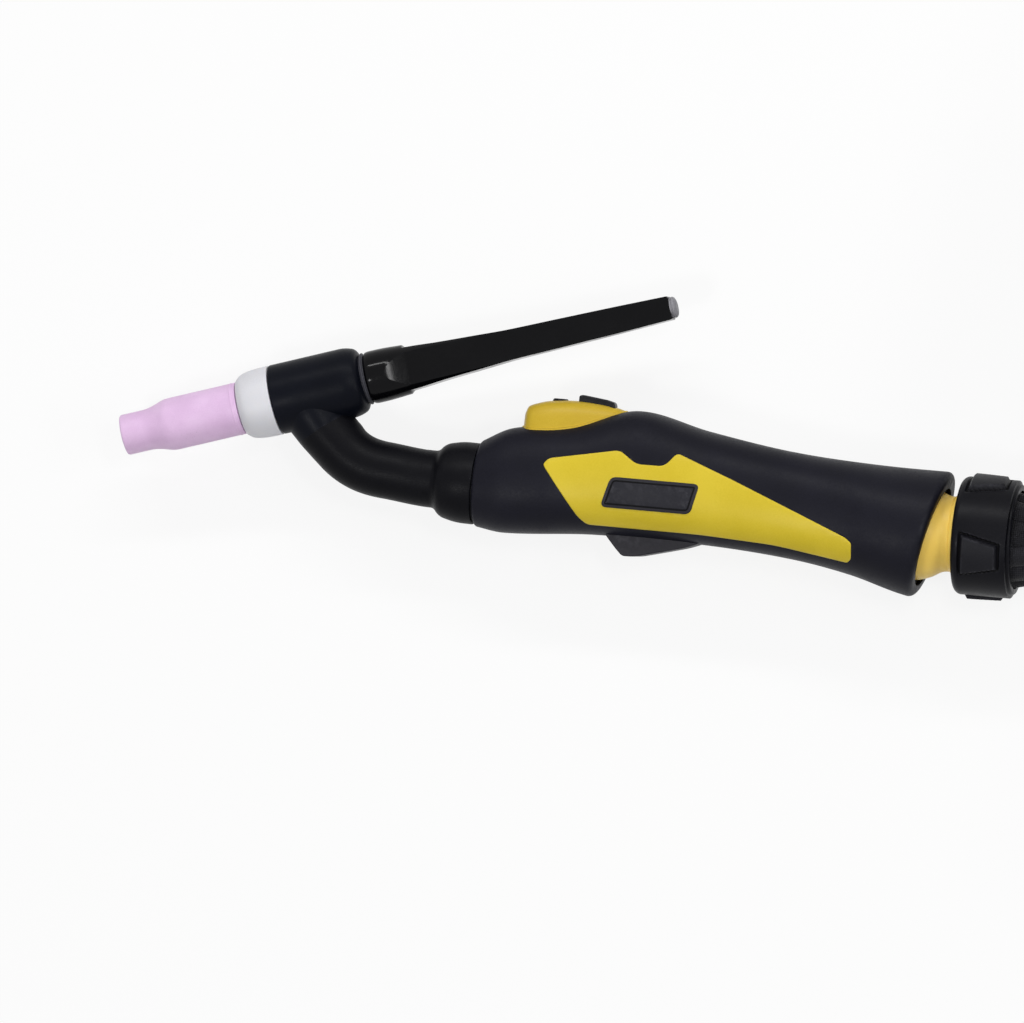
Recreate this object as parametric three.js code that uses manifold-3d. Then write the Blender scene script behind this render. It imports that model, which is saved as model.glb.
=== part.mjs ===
// Flexible-neck TIG welding torch with its cable, in millimetres.
// The torch lies on its right side: +X runs from nozzle to cable, +Y to the button side, +Z is up.
// It is drawn about the handle's axis, with X = 0 at the handle's front, and moved onto the floor last.

import * as THREE from "three";
import { mergeVertices } from "three/addons/utils/BufferGeometryUtils.js";
import Module from "manifold-3d";

const wasm = await Module();
wasm.setup();

const deg = THREE.MathUtils.degToRad;

// ---- fits ----
const GAP = 0.3;
const BALL_GAP = 0.5;

// ---- how far a cut runs past the face that it opens, and the sharpest mitre of a widened outline ----
const CUT_OVER = 1.0;
const MITRE_LIMIT = 0.5;

// ---- facets of round pieces ----
const SIDES = 20;
const BALL_SIDES = 28;
const SMALL_SIDES = 10;
const PIN_SIDES = 8;

// ---- nozzle: an alumina cup 48 mm long to its seat, measured along the head's axis ----
const NOZZLE_MOUTH = -2.4;
const NOZZLE_LENGTH = 45.5;
const NOZZLE_RADIUS = 10.3;
const NOZZLE_TIP_RADIUS = 8.0;
const NOZZLE_TIP_LENGTH = 10.5;
const NOZZLE_SHOULDER_LENGTH = 7.0;
const NOZZLE_BORE_RADIUS = 5.5;
const NOZZLE_WALL = 2.3;
const NOZZLE_LIP = 0.6;
const NOZZLE_CHAMBER_TAPER = 2.0;
const NOZZLE_SPIGOT_LENGTH = 5.7;
const NOZZLE_SPIGOT_RADIUS = 8.8;

// ---- insulator between nozzle and head: its form is [share of length, share of the rise to the head] ----
const INSULATOR_LENGTH = 13.8;
const INSULATOR_FRONT_RADIUS = 11.0;
const INSULATOR_FORM = [[0, 0], [0.2, 0.67], [0.5, 0.9], [1, 1]];
const INSULATOR_SPIGOT_LENGTH = 5.0;
const INSULATOR_SPIGOT_RADIUS = 10.6;

// ---- head: its rear form is [share of the rounding along, share of it inwards] ----
const HEAD_RADIUS = 13.8;
const HEAD_LENGTH = 36.1;
const HEAD_EDGE = 0.6;
const HEAD_REAR_ROUNDING = 4.5;
const HEAD_REAR_FORM = [[0, 0], [0.6, 0.25], [1, 0.75]];
const CORE_RADIUS = 9.2;
const NECK_STATION = 70.6;
const NECK_TO_HEAD_ANGLE = 109.2;
const STUB_FLARE = 2.2;
const STUB_FLARE_LENGTH = 5.0;
const STUB_FLARE_START = 1.5;

// ---- collet parts and electrode ----
const COLLET_BODY_RADIUS = 3.7;
const CUP_THREAD_RADIUS = 6.2;
const CUP_THREAD_LENGTH = 13.0;
const COLLET_BODY_START = 22.0;
const SHANK_RADIUS = 4.9;
const SHANK_LENGTH = 22.0;
const COLLET_RADIUS = 2.3;
const COLLET_LENGTH = 50.0;
const COLLET_SLOT = 0.5;
const COLLET_SLOT_LENGTH = 30.0;
const COLLET_SEAT = 3.0;
const COLLET_SEAT_TAPER = 1.0;
const THREAD_RUN_OUT = 1.5;
const ELECTRODE_RADIUS = 1.2;
const ELECTRODE_LENGTH = 150.0;
const ELECTRODE_SETBACK = 12.0;
const ELECTRODE_POINT = 5.0;

// ---- back cap and its seal: the cap's end is [share of the rounding from the end, share of the radius] ----
const SEAL_THICKNESS = 1.1;
const SEAL_RADIUS = 10.4;
const CAP_LENGTH = 126.0;
const CAP_BASE_RADIUS = 10.3;
const CAP_BASE_LENGTH = 10.0;
const CAP_BASE_STRAIGHT = 8.0;
const CAP_BASE_EDGE = 0.8;
const CAP_NECK_LENGTH = 20.0;
const CAP_NECK_RADIUS = 9.7;
const CAP_END_RADIUS = 5.0;
const CAP_END_ROUNDING = 2.5;
const CAP_END_FORM = [[1, 1], [0.3, 0.75], [0, 0.35]];
const CAP_FLAT_START = 9.0;
const CAP_FLAT_END = 4.4;
const CAP_FLAT_COUNT = 4;
const CAP_THREAD_LENGTH = 13.0;
const CAP_BORE_RADIUS = 1.9;
const CAP_BORE_LENGTH = 108.0;

// ---- flexible neck: straight from the collar, one bend, then straight into the head ----
const NECK_RADIUS = 11.2;
const NECK_START_Y = 0.7;
const NECK_START_HEADING = 178.5;
const NECK_STRAIGHT = 21.0;
const NECK_BEND_RADIUS = 29.4;
const NECK_BEND = 51.5;
const NECK_END_LENGTH = 21.0;
const FLEX_LENGTH = 52.0;
const FLEX_ZONES = 5;
const TUBE_RADIUS = 3.5;
const TUBE_BORE_RADIUS = 2.0;
const TUBE_JOINT_SPACE = 2.6;
const TUBE_PLAY = 0.7;
const NECK_STEPS = 2;

// ---- neck collar and adaptor: the collar's form is [distance from its front, share of the rise] ----
const COLLAR_LENGTH = 16.5;
const COLLAR_RADIUS = 16.0;
const COLLAR_FORM = [[0.6, 0.21], [2.8, 0.67], [7.0, 0.94], [9.0, 1.0]];
const ADAPTOR_RADIUS = 7.0;
const ADAPTOR_LENGTH = 20.0;
const BARB_RADIUS = 4.6;
const BARB_LENGTH = 14.0;

// ---- handle's rear rim, and the ball that it holds ----
const HANDLE_RIM_X = 182.5;
const HANDLE_RIM_TILT = 13.5;
const BALL_SETBACK = 8.0;
const BALL_X = HANDLE_RIM_X - BALL_SETBACK;
const BALL_Y = -3.0;

// ---- handle outline: [X, Y] or [X, half width] stations joined by a smooth curve, drawn past the rim ----
const HANDLE_END_X = HANDLE_RIM_X + 12;
const HANDLE_TOP = [[0, 17.2], [12, 23.4], [38, 27.4], [63, 33.8], [90, 28.8], [HANDLE_RIM_X - 59, 23.7],
  [HANDLE_RIM_X - 24, 21.5], [HANDLE_END_X, 21.2]];
const HANDLE_BOTTOM = [[0, -16.2], [12, -17.8], [48, -15.0], [92, -14.9], [HANDLE_RIM_X - 56, -18.1],
  [HANDLE_RIM_X - 32, -22.4], [HANDLE_RIM_X - 11, -28.2], [HANDLE_END_X, -32.0]];
const HANDLE_HALF_WIDTH = [[0, 16.0], [14, 19.0], [70, 20.8], [115, 19.4], [HANDLE_RIM_X - 39, 20.6],
  [HANDLE_RIM_X - 16, 23.8], [HANDLE_RIM_X, 24.8], [HANDLE_END_X, 25.0]];
const HANDLE_SQUARENESS = [[0, 2.0], [20, 2.35], [120, 2.4], [HANDLE_RIM_X - 14, 2.1], [HANDLE_END_X, 2.0]];
const HANDLE_STATIONS = 15;
const HANDLE_WALL = 3.0;
const CAVITY_SETBACK = 15.0;

// ---- screws that hold the shells together: [X, Y] on the right side ----
const SCREW_PLACES = [[19, -10], [19, 12.5], [117, 11.6], [BALL_X - 29, 13.5]];
const SCREW_HEAD_RADIUS = 2.8;
const SCREW_HEAD_HEIGHT = 1.8;
const SCREW_SHAFT_RADIUS = 1.3;
const SCREW_GRIP = 8.0;
const SCREW_RECESS = 4.0;
const BOSS_WALL = 0.9;

// ---- side inlay: [X, Y] outline on each side of the handle ----
const INLAY_OUTLINE = [[28.4, 10.2], [30.4, 12.9], [58.5, 18.4], [65.6, 13.5], [76.8, 13.6], [81.2, 19.2], [104, 10.6],
  [150.5, -8.0], [153.2, -10], [153.0, -16.2], [151.3, -17.8], [122, -13.4], [92.5, -11.9], [47.0, -11.7],
  [43.6, -9.2]];
const INLAY_PROUD = 0.5;
const INLAY_DEPTH = 1.3;

// ---- badge plate let into the inlay: parallelogram, [X, Y] ----
const PLATE_OUTLINE = [[52.4, -4.4], [56.0, 7.8], [91.4, 7.8], [88.3, -4.4]];
const PLATE_DEPTH = 0.4;
const PLATE_PROUD = 0.8;

// ---- switch housing on the top ----
const HOUSING_PLAN = [[15.8, 0], [16.8, 5.4], [20.6, 8.8], [30, 10.0], [42, 9.2], [52, 7.2], [60, 5.0], [66, 0]];
const HOUSING_CREST = [[15.8, 28.6], [18.8, 32.4], [26, 35.3], [36, 36.2], [48, 35.6], [60, 34.2], [66, 33.0]];
const HOUSING_FLOOR_Y = 19.5;
const HOUSING_WALL = 1.8;
const HOUSING_ROOF = 2.0;
const HOUSING_POCKET = 2.0;
const CREST_STEPS = 12;

// ---- front button, rear key, board and microswitches ----
const BUTTON_X = 30.0;
const BUTTON_RADIUS = 3.2;
const BUTTON_TOP_Y = 36.7;
const BUTTON_EDGE = 0.8;
const BUTTON_CROWN_RADIUS = 1.9;
const KEY_FRONT_X = 37.6;
const KEY_LENGTH = 14.6;
const KEY_HALF_WIDTH = 3.2;
const KEY_TOP_Y = 38.8;
const KEY_SLOPE = 1.4;
const KEY_EDGE = 1.0;
const KEY_FLANGE = 1.0;
const KEY_FLANGE_THICKNESS = 1.2;
const KEY_TRAVEL = 1.5;
const BOARD_THICKNESS = 1.6;
const BOARD_FRONT_X = 21.0;
const BOARD_LENGTH = 35.5;
const SWITCH_SIZE = 6.0;
const SWITCH_HEIGHT = 4.4;

// ---- finger stop under the handle: [X, Y] outline ----
const STOP_OUTLINE = [[50.5, -12], [52.5, -15.5], [56.5, -20.0], [59.6, -22.8], [65.9, -22.3], [75.3, -19.9],
  [85, -17.3], [92, -14.6], [92, -12]];
const STOP_HALF_WIDTH = 6.5;

// ---- hose and lead inside the handle ----
const HOSE_RADIUS = 6.2;
const HOSE_END_X = BALL_X - 24.5;
const CLAMP_WALL = 1.3;
const CLAMP_WIDTH = 6.0;
const CLAMP_X = 28.0;
const CONTROL_LEAD_RADIUS = 1.8;
const CONTROL_LEAD_SIDES = 6;
const STEPS_PER_STRETCH = 2;
const CONTROL_LEAD_ROUTE = [[67, 17.3], [84, 17.9], [BALL_X - 62, 17.9], [BALL_X - 46, 17.8]];

// ---- ball joint and cable collar, whose front edge is [share of the rounding along, share of it inwards] ----
const BALL_RADIUS = 19.2;
const BALL_FRONT = 13.0;
const BALL_BORE_RADIUS = 9.5;
const BALL_STUB_RADIUS = 15.2;
const BALL_STEPS = 6;
const LINER_THICKNESS = 1.2;
const LINER_FRONT = 14.0;
const LINER_REAR = 8.0;
const LINER_SETBACK = 2.0;
const SWIVEL_DEPTH = 6.0;
const COLLAR_FROM_BALL = 17.8;
const CABLE_COLLAR_LENGTH = 21.7;
const CABLE_COLLAR_RADIUS = 23.3;
const CABLE_COLLAR_ROUNDING = 3.6;
const CABLE_COLLAR_EDGE_FORM = [[0, 1], [0.3, 0.3], [1, 0]];
const CABLE_COLLAR_REAR_LENGTH = 2.2;
const CABLE_COLLAR_REAR_RADIUS = 21.6;
const GRIP_COUNT = 4;
const GRIP_HEIGHT = 1.6;
const GRIP_FIRST_ANGLE = -20.0;
const GRIP_FRONT_HALF_ANGLE = 21.0;
const GRIP_REAR_HALF_ANGLE = 11.0;
const GRIP_START = 4.2;
const GRIP_LENGTH = 14.2;
const SWIVEL_HOSE_RADIUS = 5.0;
const SWIVEL_HOSE_FRONT = 19.0;
const SWIVEL_HOSE_REAR = 8.0;

// ---- cable: its cover gathers into the collar, then it lies coiled ----
const CABLE_RADIUS = 10.0;
const GATHER_LENGTH = 30.0;
const GATHER_RADIUS = 18.5;
const GATHER_PLEATS = 10;
const GATHER_PLEAT_DEPTH = 0.9;
const GATHER_STEPS = 6;
const POINTS_PER_PLEAT = 4;
const CABLE_SIDES = 10;

// ---- stored coil: four layers that spiral in and out, wound anticlockwise from above ----
const COIL_X = 374.7;
const COIL_Y = 94.6;
const COIL_MEAN_RADIUS = 100.0;
const COIL_PITCH = 21.0;
const LAYER_HEIGHT = 20.5;
const COIL_LAYERS = 4;
const COIL_LAYER_TURNS = 0.875;
const COIL_CLIMB_TURNS = 0.5;
const COIL_START_ANGLE = -105.0;
const COIL_STEPS_PER_TURN = 24;
const COIL_SIDES = 6;

// ---- cable route outside the coil: [X, Y, height over the floor] ----
const LEAD_ROUTE = [[249.6, -3, 25], [261.6, -3, 24.3], [273.6, -3, 22.1], [285.6, -3, 18.5], [297.6, -3.35, 14.9],
  [309.5, -4.65, 12.7]];
const TAIL_ROUTE = [[356.7, 212.1, 94.6], [334.2, 209.1, 95.9], [313.3, 200.5, 98.0], [295.3, 186.7, 100.7],
  [281.5, 168.7, 102.8], [272.9, 147.8, 104.2], [269.9, 125.3, 104.8]];
const ROUTE_END_RUN = 5.0;

// ---- ties round the coil ----
const TIE_ANGLES = [-65, 40];
const TIE_THICKNESS = 1.7;
const TIE_WIDTH = 16.0;
const TIE_ROUNDING = 9.0;
const TIE_ROOM = 0.9;
const TIE_CORNER_STEPS = 4;
const TIE_SAMPLES = 4;

// ---- plug on the cable's end, resting on the coil; a boot rib is [share of its pitch, share of its depth] ----
const PLUG_X = 269.9;
const PLUG_Y = 119.3;
const PLUG_HEIGHT = 104.8;
const PLUG_HEADING = -90.0;
const BOOT_LENGTH = 40.0;
const BOOT_RADIUS = 12.6;
const BOOT_END_RADIUS = 15.5;
const BOOT_RIBS = 4;
const BOOT_RIB_DEPTH = 1.0;
const BOOT_RIB_FORM = [[0, 1], [0.3, 0], [0.8, 0]];
const HOUSING_LENGTH = 46.0;
const HOUSING_RADIUS = 18.5;
const HOUSING_EDGE = 2.0;
const BARREL_LENGTH = 18.0;
const BARREL_RADIUS = 16.5;
const BARREL_FLANGE = 1.1;
const BARREL_FLANGE_LENGTH = 7.0;
const NUT_LENGTH = 25.0;
const NUT_RADIUS = 21.0;
const NUT_EDGE = 1.0;
const NUT_FLUTES = 12;
const NUT_FLUTE_RADIUS = 2.4;
const PIN_RADIUS = 5.0;
const PIN_LENGTH = 26.0;
const PIN_SEAT_DEPTH = 14.0;
const PIN_BORE_RADIUS = 1.8;
const CONTROL_PIN_RADIUS = 1.2;
const CONTROL_PIN_LENGTH = 8.0;
const CONTROL_PIN_SEAT_DEPTH = 8.0;
const CONTROL_PIN_OFFSET = 10.8;
const CONTROL_PIN_ANGLES = [-30, 30];

// ---- finishes ----
const finish = (color, roughness, metalness = 0) =>
  new THREE.MeshStandardMaterial({ color, roughness, metalness, flatShading: true });
const CERAMIC = finish(0xd3b4d4, 0.55);
const WHITE = finish(0xdcdbdf, 0.5);
const RUBBER = finish(0x1f1f24, 0.65);
const GRIP_BLACK = finish(0x232328, 0.6);
const GLOSS_BLACK = finish(0x141318, 0.15);
const YELLOW = finish(0xd7b930, 0.45);
const CHARCOAL = finish(0x3a393e, 0.5);
const SEAL_GREY = finish(0x6b6b70, 0.5);
const BRASS = finish(0xb08d45, 0.35, 1);
const COPPER = finish(0xb06a45, 0.35, 1);
const STEEL = finish(0x8a8a8e, 0.3, 1);
const BOARD_GREEN = finish(0x2c5a3c, 0.5);
const TEXTILE = finish(0x17171a, 0.85);

// ---- mesh helpers ----

// Merges shared corners and drops the collapsed triangles at a lathe's poles.
function closed(geometry) {
  const bare = new THREE.BufferGeometry();
  bare.setAttribute("position", geometry.getAttribute("position"));
  bare.setIndex(geometry.getIndex());
  const merged = mergeVertices(bare, 1e-4);
  const corners = merged.getIndex().array;
  const kept = [];
  for (let i = 0; i < corners.length; i += 3) {
    const [a, b, c] = [corners[i], corners[i + 1], corners[i + 2]];
    if (a !== b && b !== c && c !== a) {
      kept.push(a, b, c);
    }
  }
  merged.setIndex(kept);
  return facingOut(merged);
}

// Turns every triangle round when the mesh encloses a negative volume.
function facingOut(geometry) {
  const place = geometry.getAttribute("position");
  const index = geometry.getIndex().array;
  const corner = [new THREE.Vector3(), new THREE.Vector3(), new THREE.Vector3()];
  let volume = 0;
  for (let i = 0; i < index.length; i += 3) {
    corner.forEach((point, k) => point.fromBufferAttribute(place, index[i + k]));
    volume += corner[0].dot(corner[1].clone().cross(corner[2]));
  }
  if (volume < 0) {
    const turned = [];
    for (let i = 0; i < index.length; i += 3) {
      turned.push(index[i], index[i + 2], index[i + 1]);
    }
    geometry.setIndex(turned);
  }
  return geometry;
}

function toSolid(geometry) {
  const mesh = closed(geometry);
  return new wasm.Manifold(new wasm.Mesh({
    numProp: 3,
    vertProperties: Float32Array.from(mesh.getAttribute("position").array),
    triVerts: Uint32Array.from(mesh.getIndex().array),
  }));
}

function toGeometry(solid) {
  const mesh = solid.getMesh();
  const geometry = new THREE.BufferGeometry();
  geometry.setAttribute("position", new THREE.BufferAttribute(mesh.vertProperties, mesh.numProp));
  geometry.setIndex(Array.from(mesh.triVerts));
  return geometry;
}

// A body turned about the X axis from [x, radius] points; a bored one closes on itself.
function turned(profile, sides = SIDES, bored = false) {
  const points = profile.map(([x, radius]) => new THREE.Vector2(Math.max(radius, 0), x));
  if (bored) {
    points.push(points[0].clone());
  }
  const lathe = new THREE.LatheGeometry(points, sides);
  lathe.rotateZ(-Math.PI / 2);
  return closed(lathe);
}

function cylinder(x0, x1, radius, sides = SMALL_SIDES) {
  return turned([[x0, 0], [x0, radius], [x1, radius], [x1, 0]], sides);
}

function tube(x0, x1, radius, bore, sides = SMALL_SIDES) {
  return turned([[x0, bore], [x0, radius], [x1, radius], [x1, bore]], sides, true);
}

function sphere(radius, sides = BALL_SIDES) {
  const points = [];
  for (let k = 0; k <= sides / 2; k += 1) {
    const angle = Math.PI * k / (sides / 2);
    points.push([-radius * Math.cos(angle), radius * Math.sin(angle)]);
  }
  return turned(points, sides);
}

function box(x0, x1, y0, y1, z0, z1) {
  const geometry = new THREE.BoxGeometry(x1 - x0, y1 - y0, z1 - z0);
  return geometry.translate((x0 + x1) / 2, (y0 + y1) / 2, (z0 + z1) / 2);
}

// A prism along Z from an [x, y] outline.
function prism(outline, z0, z1) {
  const shape = new THREE.Shape(outline.map(([x, y]) => new THREE.Vector2(x, y)));
  const geometry = new THREE.ExtrudeGeometry(shape, { depth: z1 - z0, bevelEnabled: false });
  return closed(geometry.translate(0, 0, z0));
}

// Joins rings of equal count into a closed skin: capped at both ends, or bent round on itself.
function skinned(rings, joined = false) {
  const count = rings[0].length;
  const positions = rings.flat().flatMap((point) => [point.x, point.y, point.z]);
  const index = [];
  const last = joined ? rings.length : rings.length - 1;
  for (let i = 0; i < last; i += 1) {
    const next = (i + 1) % rings.length;
    for (let j = 0; j < count; j += 1) {
      const side = (j + 1) % count;
      const [a, b] = [i * count + j, i * count + side];
      const [c, d] = [next * count + j, next * count + side];
      index.push(a, b, c, b, d, c);
    }
  }
  if (!joined) {
    [0, rings.length - 1].forEach((k) => {
      const middle = new THREE.Vector3();
      rings[k].forEach((point) => middle.addScaledVector(point, 1 / count));
      const centre = positions.length / 3;
      positions.push(middle.x, middle.y, middle.z);
      for (let j = 0; j < count; j += 1) {
        const [a, b] = [k * count + j, k * count + (j + 1) % count];
        index.push(...(k === 0 ? [centre, b, a] : [centre, a, b]));
      }
    });
  }
  const geometry = new THREE.BufferGeometry();
  geometry.setAttribute("position", new THREE.Float32BufferAttribute(positions, 3));
  geometry.setIndex(index);
  return facingOut(geometry);
}

// A curve y(x) through [x, y] stations, with the slope at each from its neighbours.
function curveThrough(stations) {
  const slopes = stations.map((_, k) => {
    const before = stations[Math.max(k - 1, 0)];
    const after = stations[Math.min(k + 1, stations.length - 1)];
    return (after[1] - before[1]) / (after[0] - before[0]);
  });
  return (x) => {
    const next = stations.findIndex((station) => station[0] > x);
    const k = next < 0 ? stations.length - 2 : Math.max(next - 1, 0);
    const [x0, y0] = stations[k];
    const [x1, y1] = stations[k + 1];
    const span = x1 - x0;
    const t = THREE.MathUtils.clamp((x - x0) / span, 0, 1);
    return y0 * (1 + 2 * t) * (1 - t) ** 2 + y1 * t * t * (3 - 2 * t)
      + slopes[k] * span * t * (1 - t) ** 2 - slopes[k + 1] * span * t * t * (1 - t);
  };
}

// Moves each edge of a closed [x, y] outline outwards by a distance.
function grown(outline, distance) {
  const area = outline.reduce((sum, [x, y], k) => {
    const [nx, ny] = outline[(k + 1) % outline.length];
    return sum + x * ny - nx * y;
  }, 0);
  const outward = Math.sign(area) * distance;
  return outline.map(([x, y], k) => {
    const [px, py] = outline[(k + outline.length - 1) % outline.length];
    const [nx, ny] = outline[(k + 1) % outline.length];
    const before = new THREE.Vector2(x - px, y - py).normalize();
    const after = new THREE.Vector2(nx - x, ny - y).normalize();
    const normal = new THREE.Vector2(before.y + after.y, -before.x - after.x);
    const scale = outward / Math.max(1 + before.dot(after), MITRE_LIMIT);
    return [x + normal.x * scale, y + normal.y * scale];
  });
}

// ---- the scene ----
const part = new THREE.Group();
const torch = new THREE.Group();
const cord = new THREE.Group();
part.add(torch, cord);

function addPiece(parent, name, geometry, material) {
  const mesh = new THREE.Mesh(geometry, material);
  mesh.name = name;
  parent.add(mesh);
}

function addGroup(parent, name, x, y, heading = 0) {
  const group = new THREE.Group();
  group.name = name;
  group.position.set(x, y, 0);
  group.rotation.z = heading;
  parent.add(group);
  return group;
}

// ---- neck path ----

// The neck's centre line at a distance from the collar's front: its place and its heading.
function neckAt(distance) {
  const heading = deg(NECK_START_HEADING);
  const straight = Math.min(distance, NECK_STRAIGHT);
  const bendLength = NECK_BEND_RADIUS * deg(NECK_BEND);
  const bent = THREE.MathUtils.clamp(distance - NECK_STRAIGHT, 0, bendLength) / NECK_BEND_RADIUS;
  const rest = Math.max(distance - NECK_STRAIGHT - bendLength, 0);
  const point = new THREE.Vector2(-COLLAR_LENGTH, NECK_START_Y);
  point.add(new THREE.Vector2(Math.cos(heading), Math.sin(heading)).multiplyScalar(straight));
  const turn = heading - bent;
  point.x += NECK_BEND_RADIUS * (Math.sin(heading) - Math.sin(turn));
  point.y += NECK_BEND_RADIUS * (Math.cos(turn) - Math.cos(heading));
  point.add(new THREE.Vector2(Math.cos(turn), Math.sin(turn)).multiplyScalar(rest));
  return { point, heading: turn };
}

const ZONE_LENGTH = FLEX_LENGTH / FLEX_ZONES;
const hingeAt = (k) => neckAt(ZONE_LENGTH * (k + 0.5));
const NECK_TOTAL = NECK_STRAIGHT + NECK_BEND_RADIUS * deg(NECK_BEND) + NECK_END_LENGTH;
const neckEnd = neckAt(NECK_TOTAL);
const HEAD_HEADING = neckEnd.heading - deg(NECK_TO_HEAD_ANGLE);

// A sleeve along the neck between two distances, in the parent's own axes.
function neckSleeve(from, to, radius, bore, sides) {
  const rings = [];
  const ring = (distance, size) => {
    const { point, heading } = neckAt(distance);
    return Array.from({ length: sides }, (_, j) => {
      const angle = 2 * Math.PI * j / sides;
      const across = size * Math.cos(angle);
      return new THREE.Vector3(point.x - across * Math.sin(heading), point.y + across * Math.cos(heading),
        size * Math.sin(angle));
    });
  };
  for (let k = 0; k <= NECK_STEPS; k += 1) {
    rings.push(ring(from + (to - from) * k / NECK_STEPS, radius));
  }
  for (let k = NECK_STEPS; k >= 0; k -= 1) {
    rings.push(ring(from + (to - from) * k / NECK_STEPS, bore));
  }
  return skinned(rings, true);
}

// ---- head, in its own axes: X from inside the nozzle's tip to the cap ----
const headGroup = addGroup(torch, "head_axis",
  neckEnd.point.x - NECK_STATION * Math.cos(HEAD_HEADING),
  neckEnd.point.y - NECK_STATION * Math.sin(HEAD_HEADING), HEAD_HEADING);

const INSULATOR_X = NOZZLE_LENGTH + GAP;
const INSULATOR_END = INSULATOR_X + INSULATOR_LENGTH;
const HEAD_X = INSULATOR_END + GAP;
const HEAD_END = HEAD_X + HEAD_LENGTH;
const CORE_X = INSULATOR_END + INSULATOR_SPIGOT_LENGTH + GAP;
const SEAL_X = HEAD_END + GAP;
const CAP_X = SEAL_X + SEAL_THICKNESS + GAP;
const THREAD_END = INSULATOR_X + NOZZLE_SPIGOT_LENGTH + 2 * GAP;
const SHANK_END = THREAD_END + SHANK_LENGTH;
const CAP_SPIGOT_X = CAP_X - CAP_THREAD_LENGTH;

function ceramicNozzle() {
  const spigotEnd = NOZZLE_LENGTH + NOZZLE_SPIGOT_LENGTH;
  const tip = NOZZLE_MOUTH + NOZZLE_TIP_LENGTH;
  const shoulder = tip + NOZZLE_SHOULDER_LENGTH;
  const middle = (NOZZLE_TIP_RADIUS + NOZZLE_RADIUS) / 2;
  const chamber = NOZZLE_RADIUS - NOZZLE_WALL;
  const threadBore = CUP_THREAD_RADIUS + GAP;
  const threadStart = THREAD_END - CUP_THREAD_LENGTH;
  return turned([
    [NOZZLE_MOUTH, NOZZLE_BORE_RADIUS], [NOZZLE_MOUTH, NOZZLE_TIP_RADIUS - NOZZLE_LIP],
    [NOZZLE_MOUTH + NOZZLE_LIP, NOZZLE_TIP_RADIUS], [tip, NOZZLE_TIP_RADIUS],
    [tip + NOZZLE_SHOULDER_LENGTH / 2, middle],
    [shoulder, NOZZLE_RADIUS], [NOZZLE_LENGTH, NOZZLE_RADIUS], [NOZZLE_LENGTH, NOZZLE_SPIGOT_RADIUS],
    [spigotEnd, NOZZLE_SPIGOT_RADIUS], [spigotEnd, threadBore], [threadStart, threadBore],
    [threadStart - NOZZLE_CHAMBER_TAPER, chamber], [shoulder + NOZZLE_CHAMBER_TAPER, chamber],
    [tip, NOZZLE_BORE_RADIUS],
  ], SIDES, true);
}

function cupInsulator() {
  const seat = NOZZLE_SPIGOT_RADIUS + GAP;
  const seatEnd = INSULATOR_X + NOZZLE_SPIGOT_LENGTH + GAP;
  const bore = CUP_THREAD_RADIUS + GAP;
  const spigotEnd = INSULATOR_END + INSULATOR_SPIGOT_LENGTH;
  const skin = INSULATOR_FORM.map(([along, rise]) => [INSULATOR_X + INSULATOR_LENGTH * along,
    INSULATOR_FRONT_RADIUS + (HEAD_RADIUS - INSULATOR_FRONT_RADIUS) * rise]);
  return turned([
    [INSULATOR_X, seat], ...skin,
    [INSULATOR_END, INSULATOR_SPIGOT_RADIUS], [spigotEnd, INSULATOR_SPIGOT_RADIUS], [spigotEnd, bore],
    [seatEnd, bore], [seatEnd, seat],
  ], SIDES, true);
}

// The stub that carries the neck: a round bar from the head's axis down to a distance, in head axes.
function neckStub(from, to, radiusFrom, radiusTo, sides = SIDES) {
  const bar = turned([[from, 0], [from, radiusFrom], [to, radiusTo], [to, 0]], sides);
  bar.rotateZ(deg(NECK_TO_HEAD_ANGLE) - Math.PI);
  return bar.translate(NECK_STATION, 0, 0);
}

function headCover() {
  const rear = HEAD_END - HEAD_REAR_ROUNDING;
  const stubEnd = NECK_TOTAL - FLEX_LENGTH + ZONE_LENGTH / 2 - GAP / 2;
  const flareStart = HEAD_RADIUS + STUB_FLARE_START;
  const rounding = HEAD_REAR_FORM.map(([along, inward]) => [rear + HEAD_REAR_ROUNDING * along,
    HEAD_RADIUS - HEAD_REAR_ROUNDING * inward]);
  let cover = toSolid(turned([
    [HEAD_X, 0], [HEAD_X, HEAD_RADIUS - HEAD_EDGE], [HEAD_X + HEAD_EDGE, HEAD_RADIUS], ...rounding, [HEAD_END, 0],
  ]));
  cover = cover.add(toSolid(neckStub(0, stubEnd, NECK_RADIUS, NECK_RADIUS)));
  cover = cover.add(toSolid(neckStub(flareStart - STUB_FLARE_LENGTH, flareStart + STUB_FLARE_LENGTH / 2,
    NECK_RADIUS + 2 * STUB_FLARE, NECK_RADIUS)));
  const spigotBore = cylinder(HEAD_X - CUT_OVER, CORE_X, INSULATOR_SPIGOT_RADIUS + GAP, SIDES);
  const coreBore = cylinder(CORE_X - CUT_OVER, HEAD_END + CUT_OVER, CORE_RADIUS + GAP, SIDES);
  const tubeBore = neckStub(0, stubEnd + CUT_OVER, TUBE_RADIUS + TUBE_PLAY, TUBE_RADIUS + TUBE_PLAY);
  return toGeometry(cover.subtract(toSolid(spigotBore)).subtract(toSolid(coreBore)).subtract(toSolid(tubeBore)));
}

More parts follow.
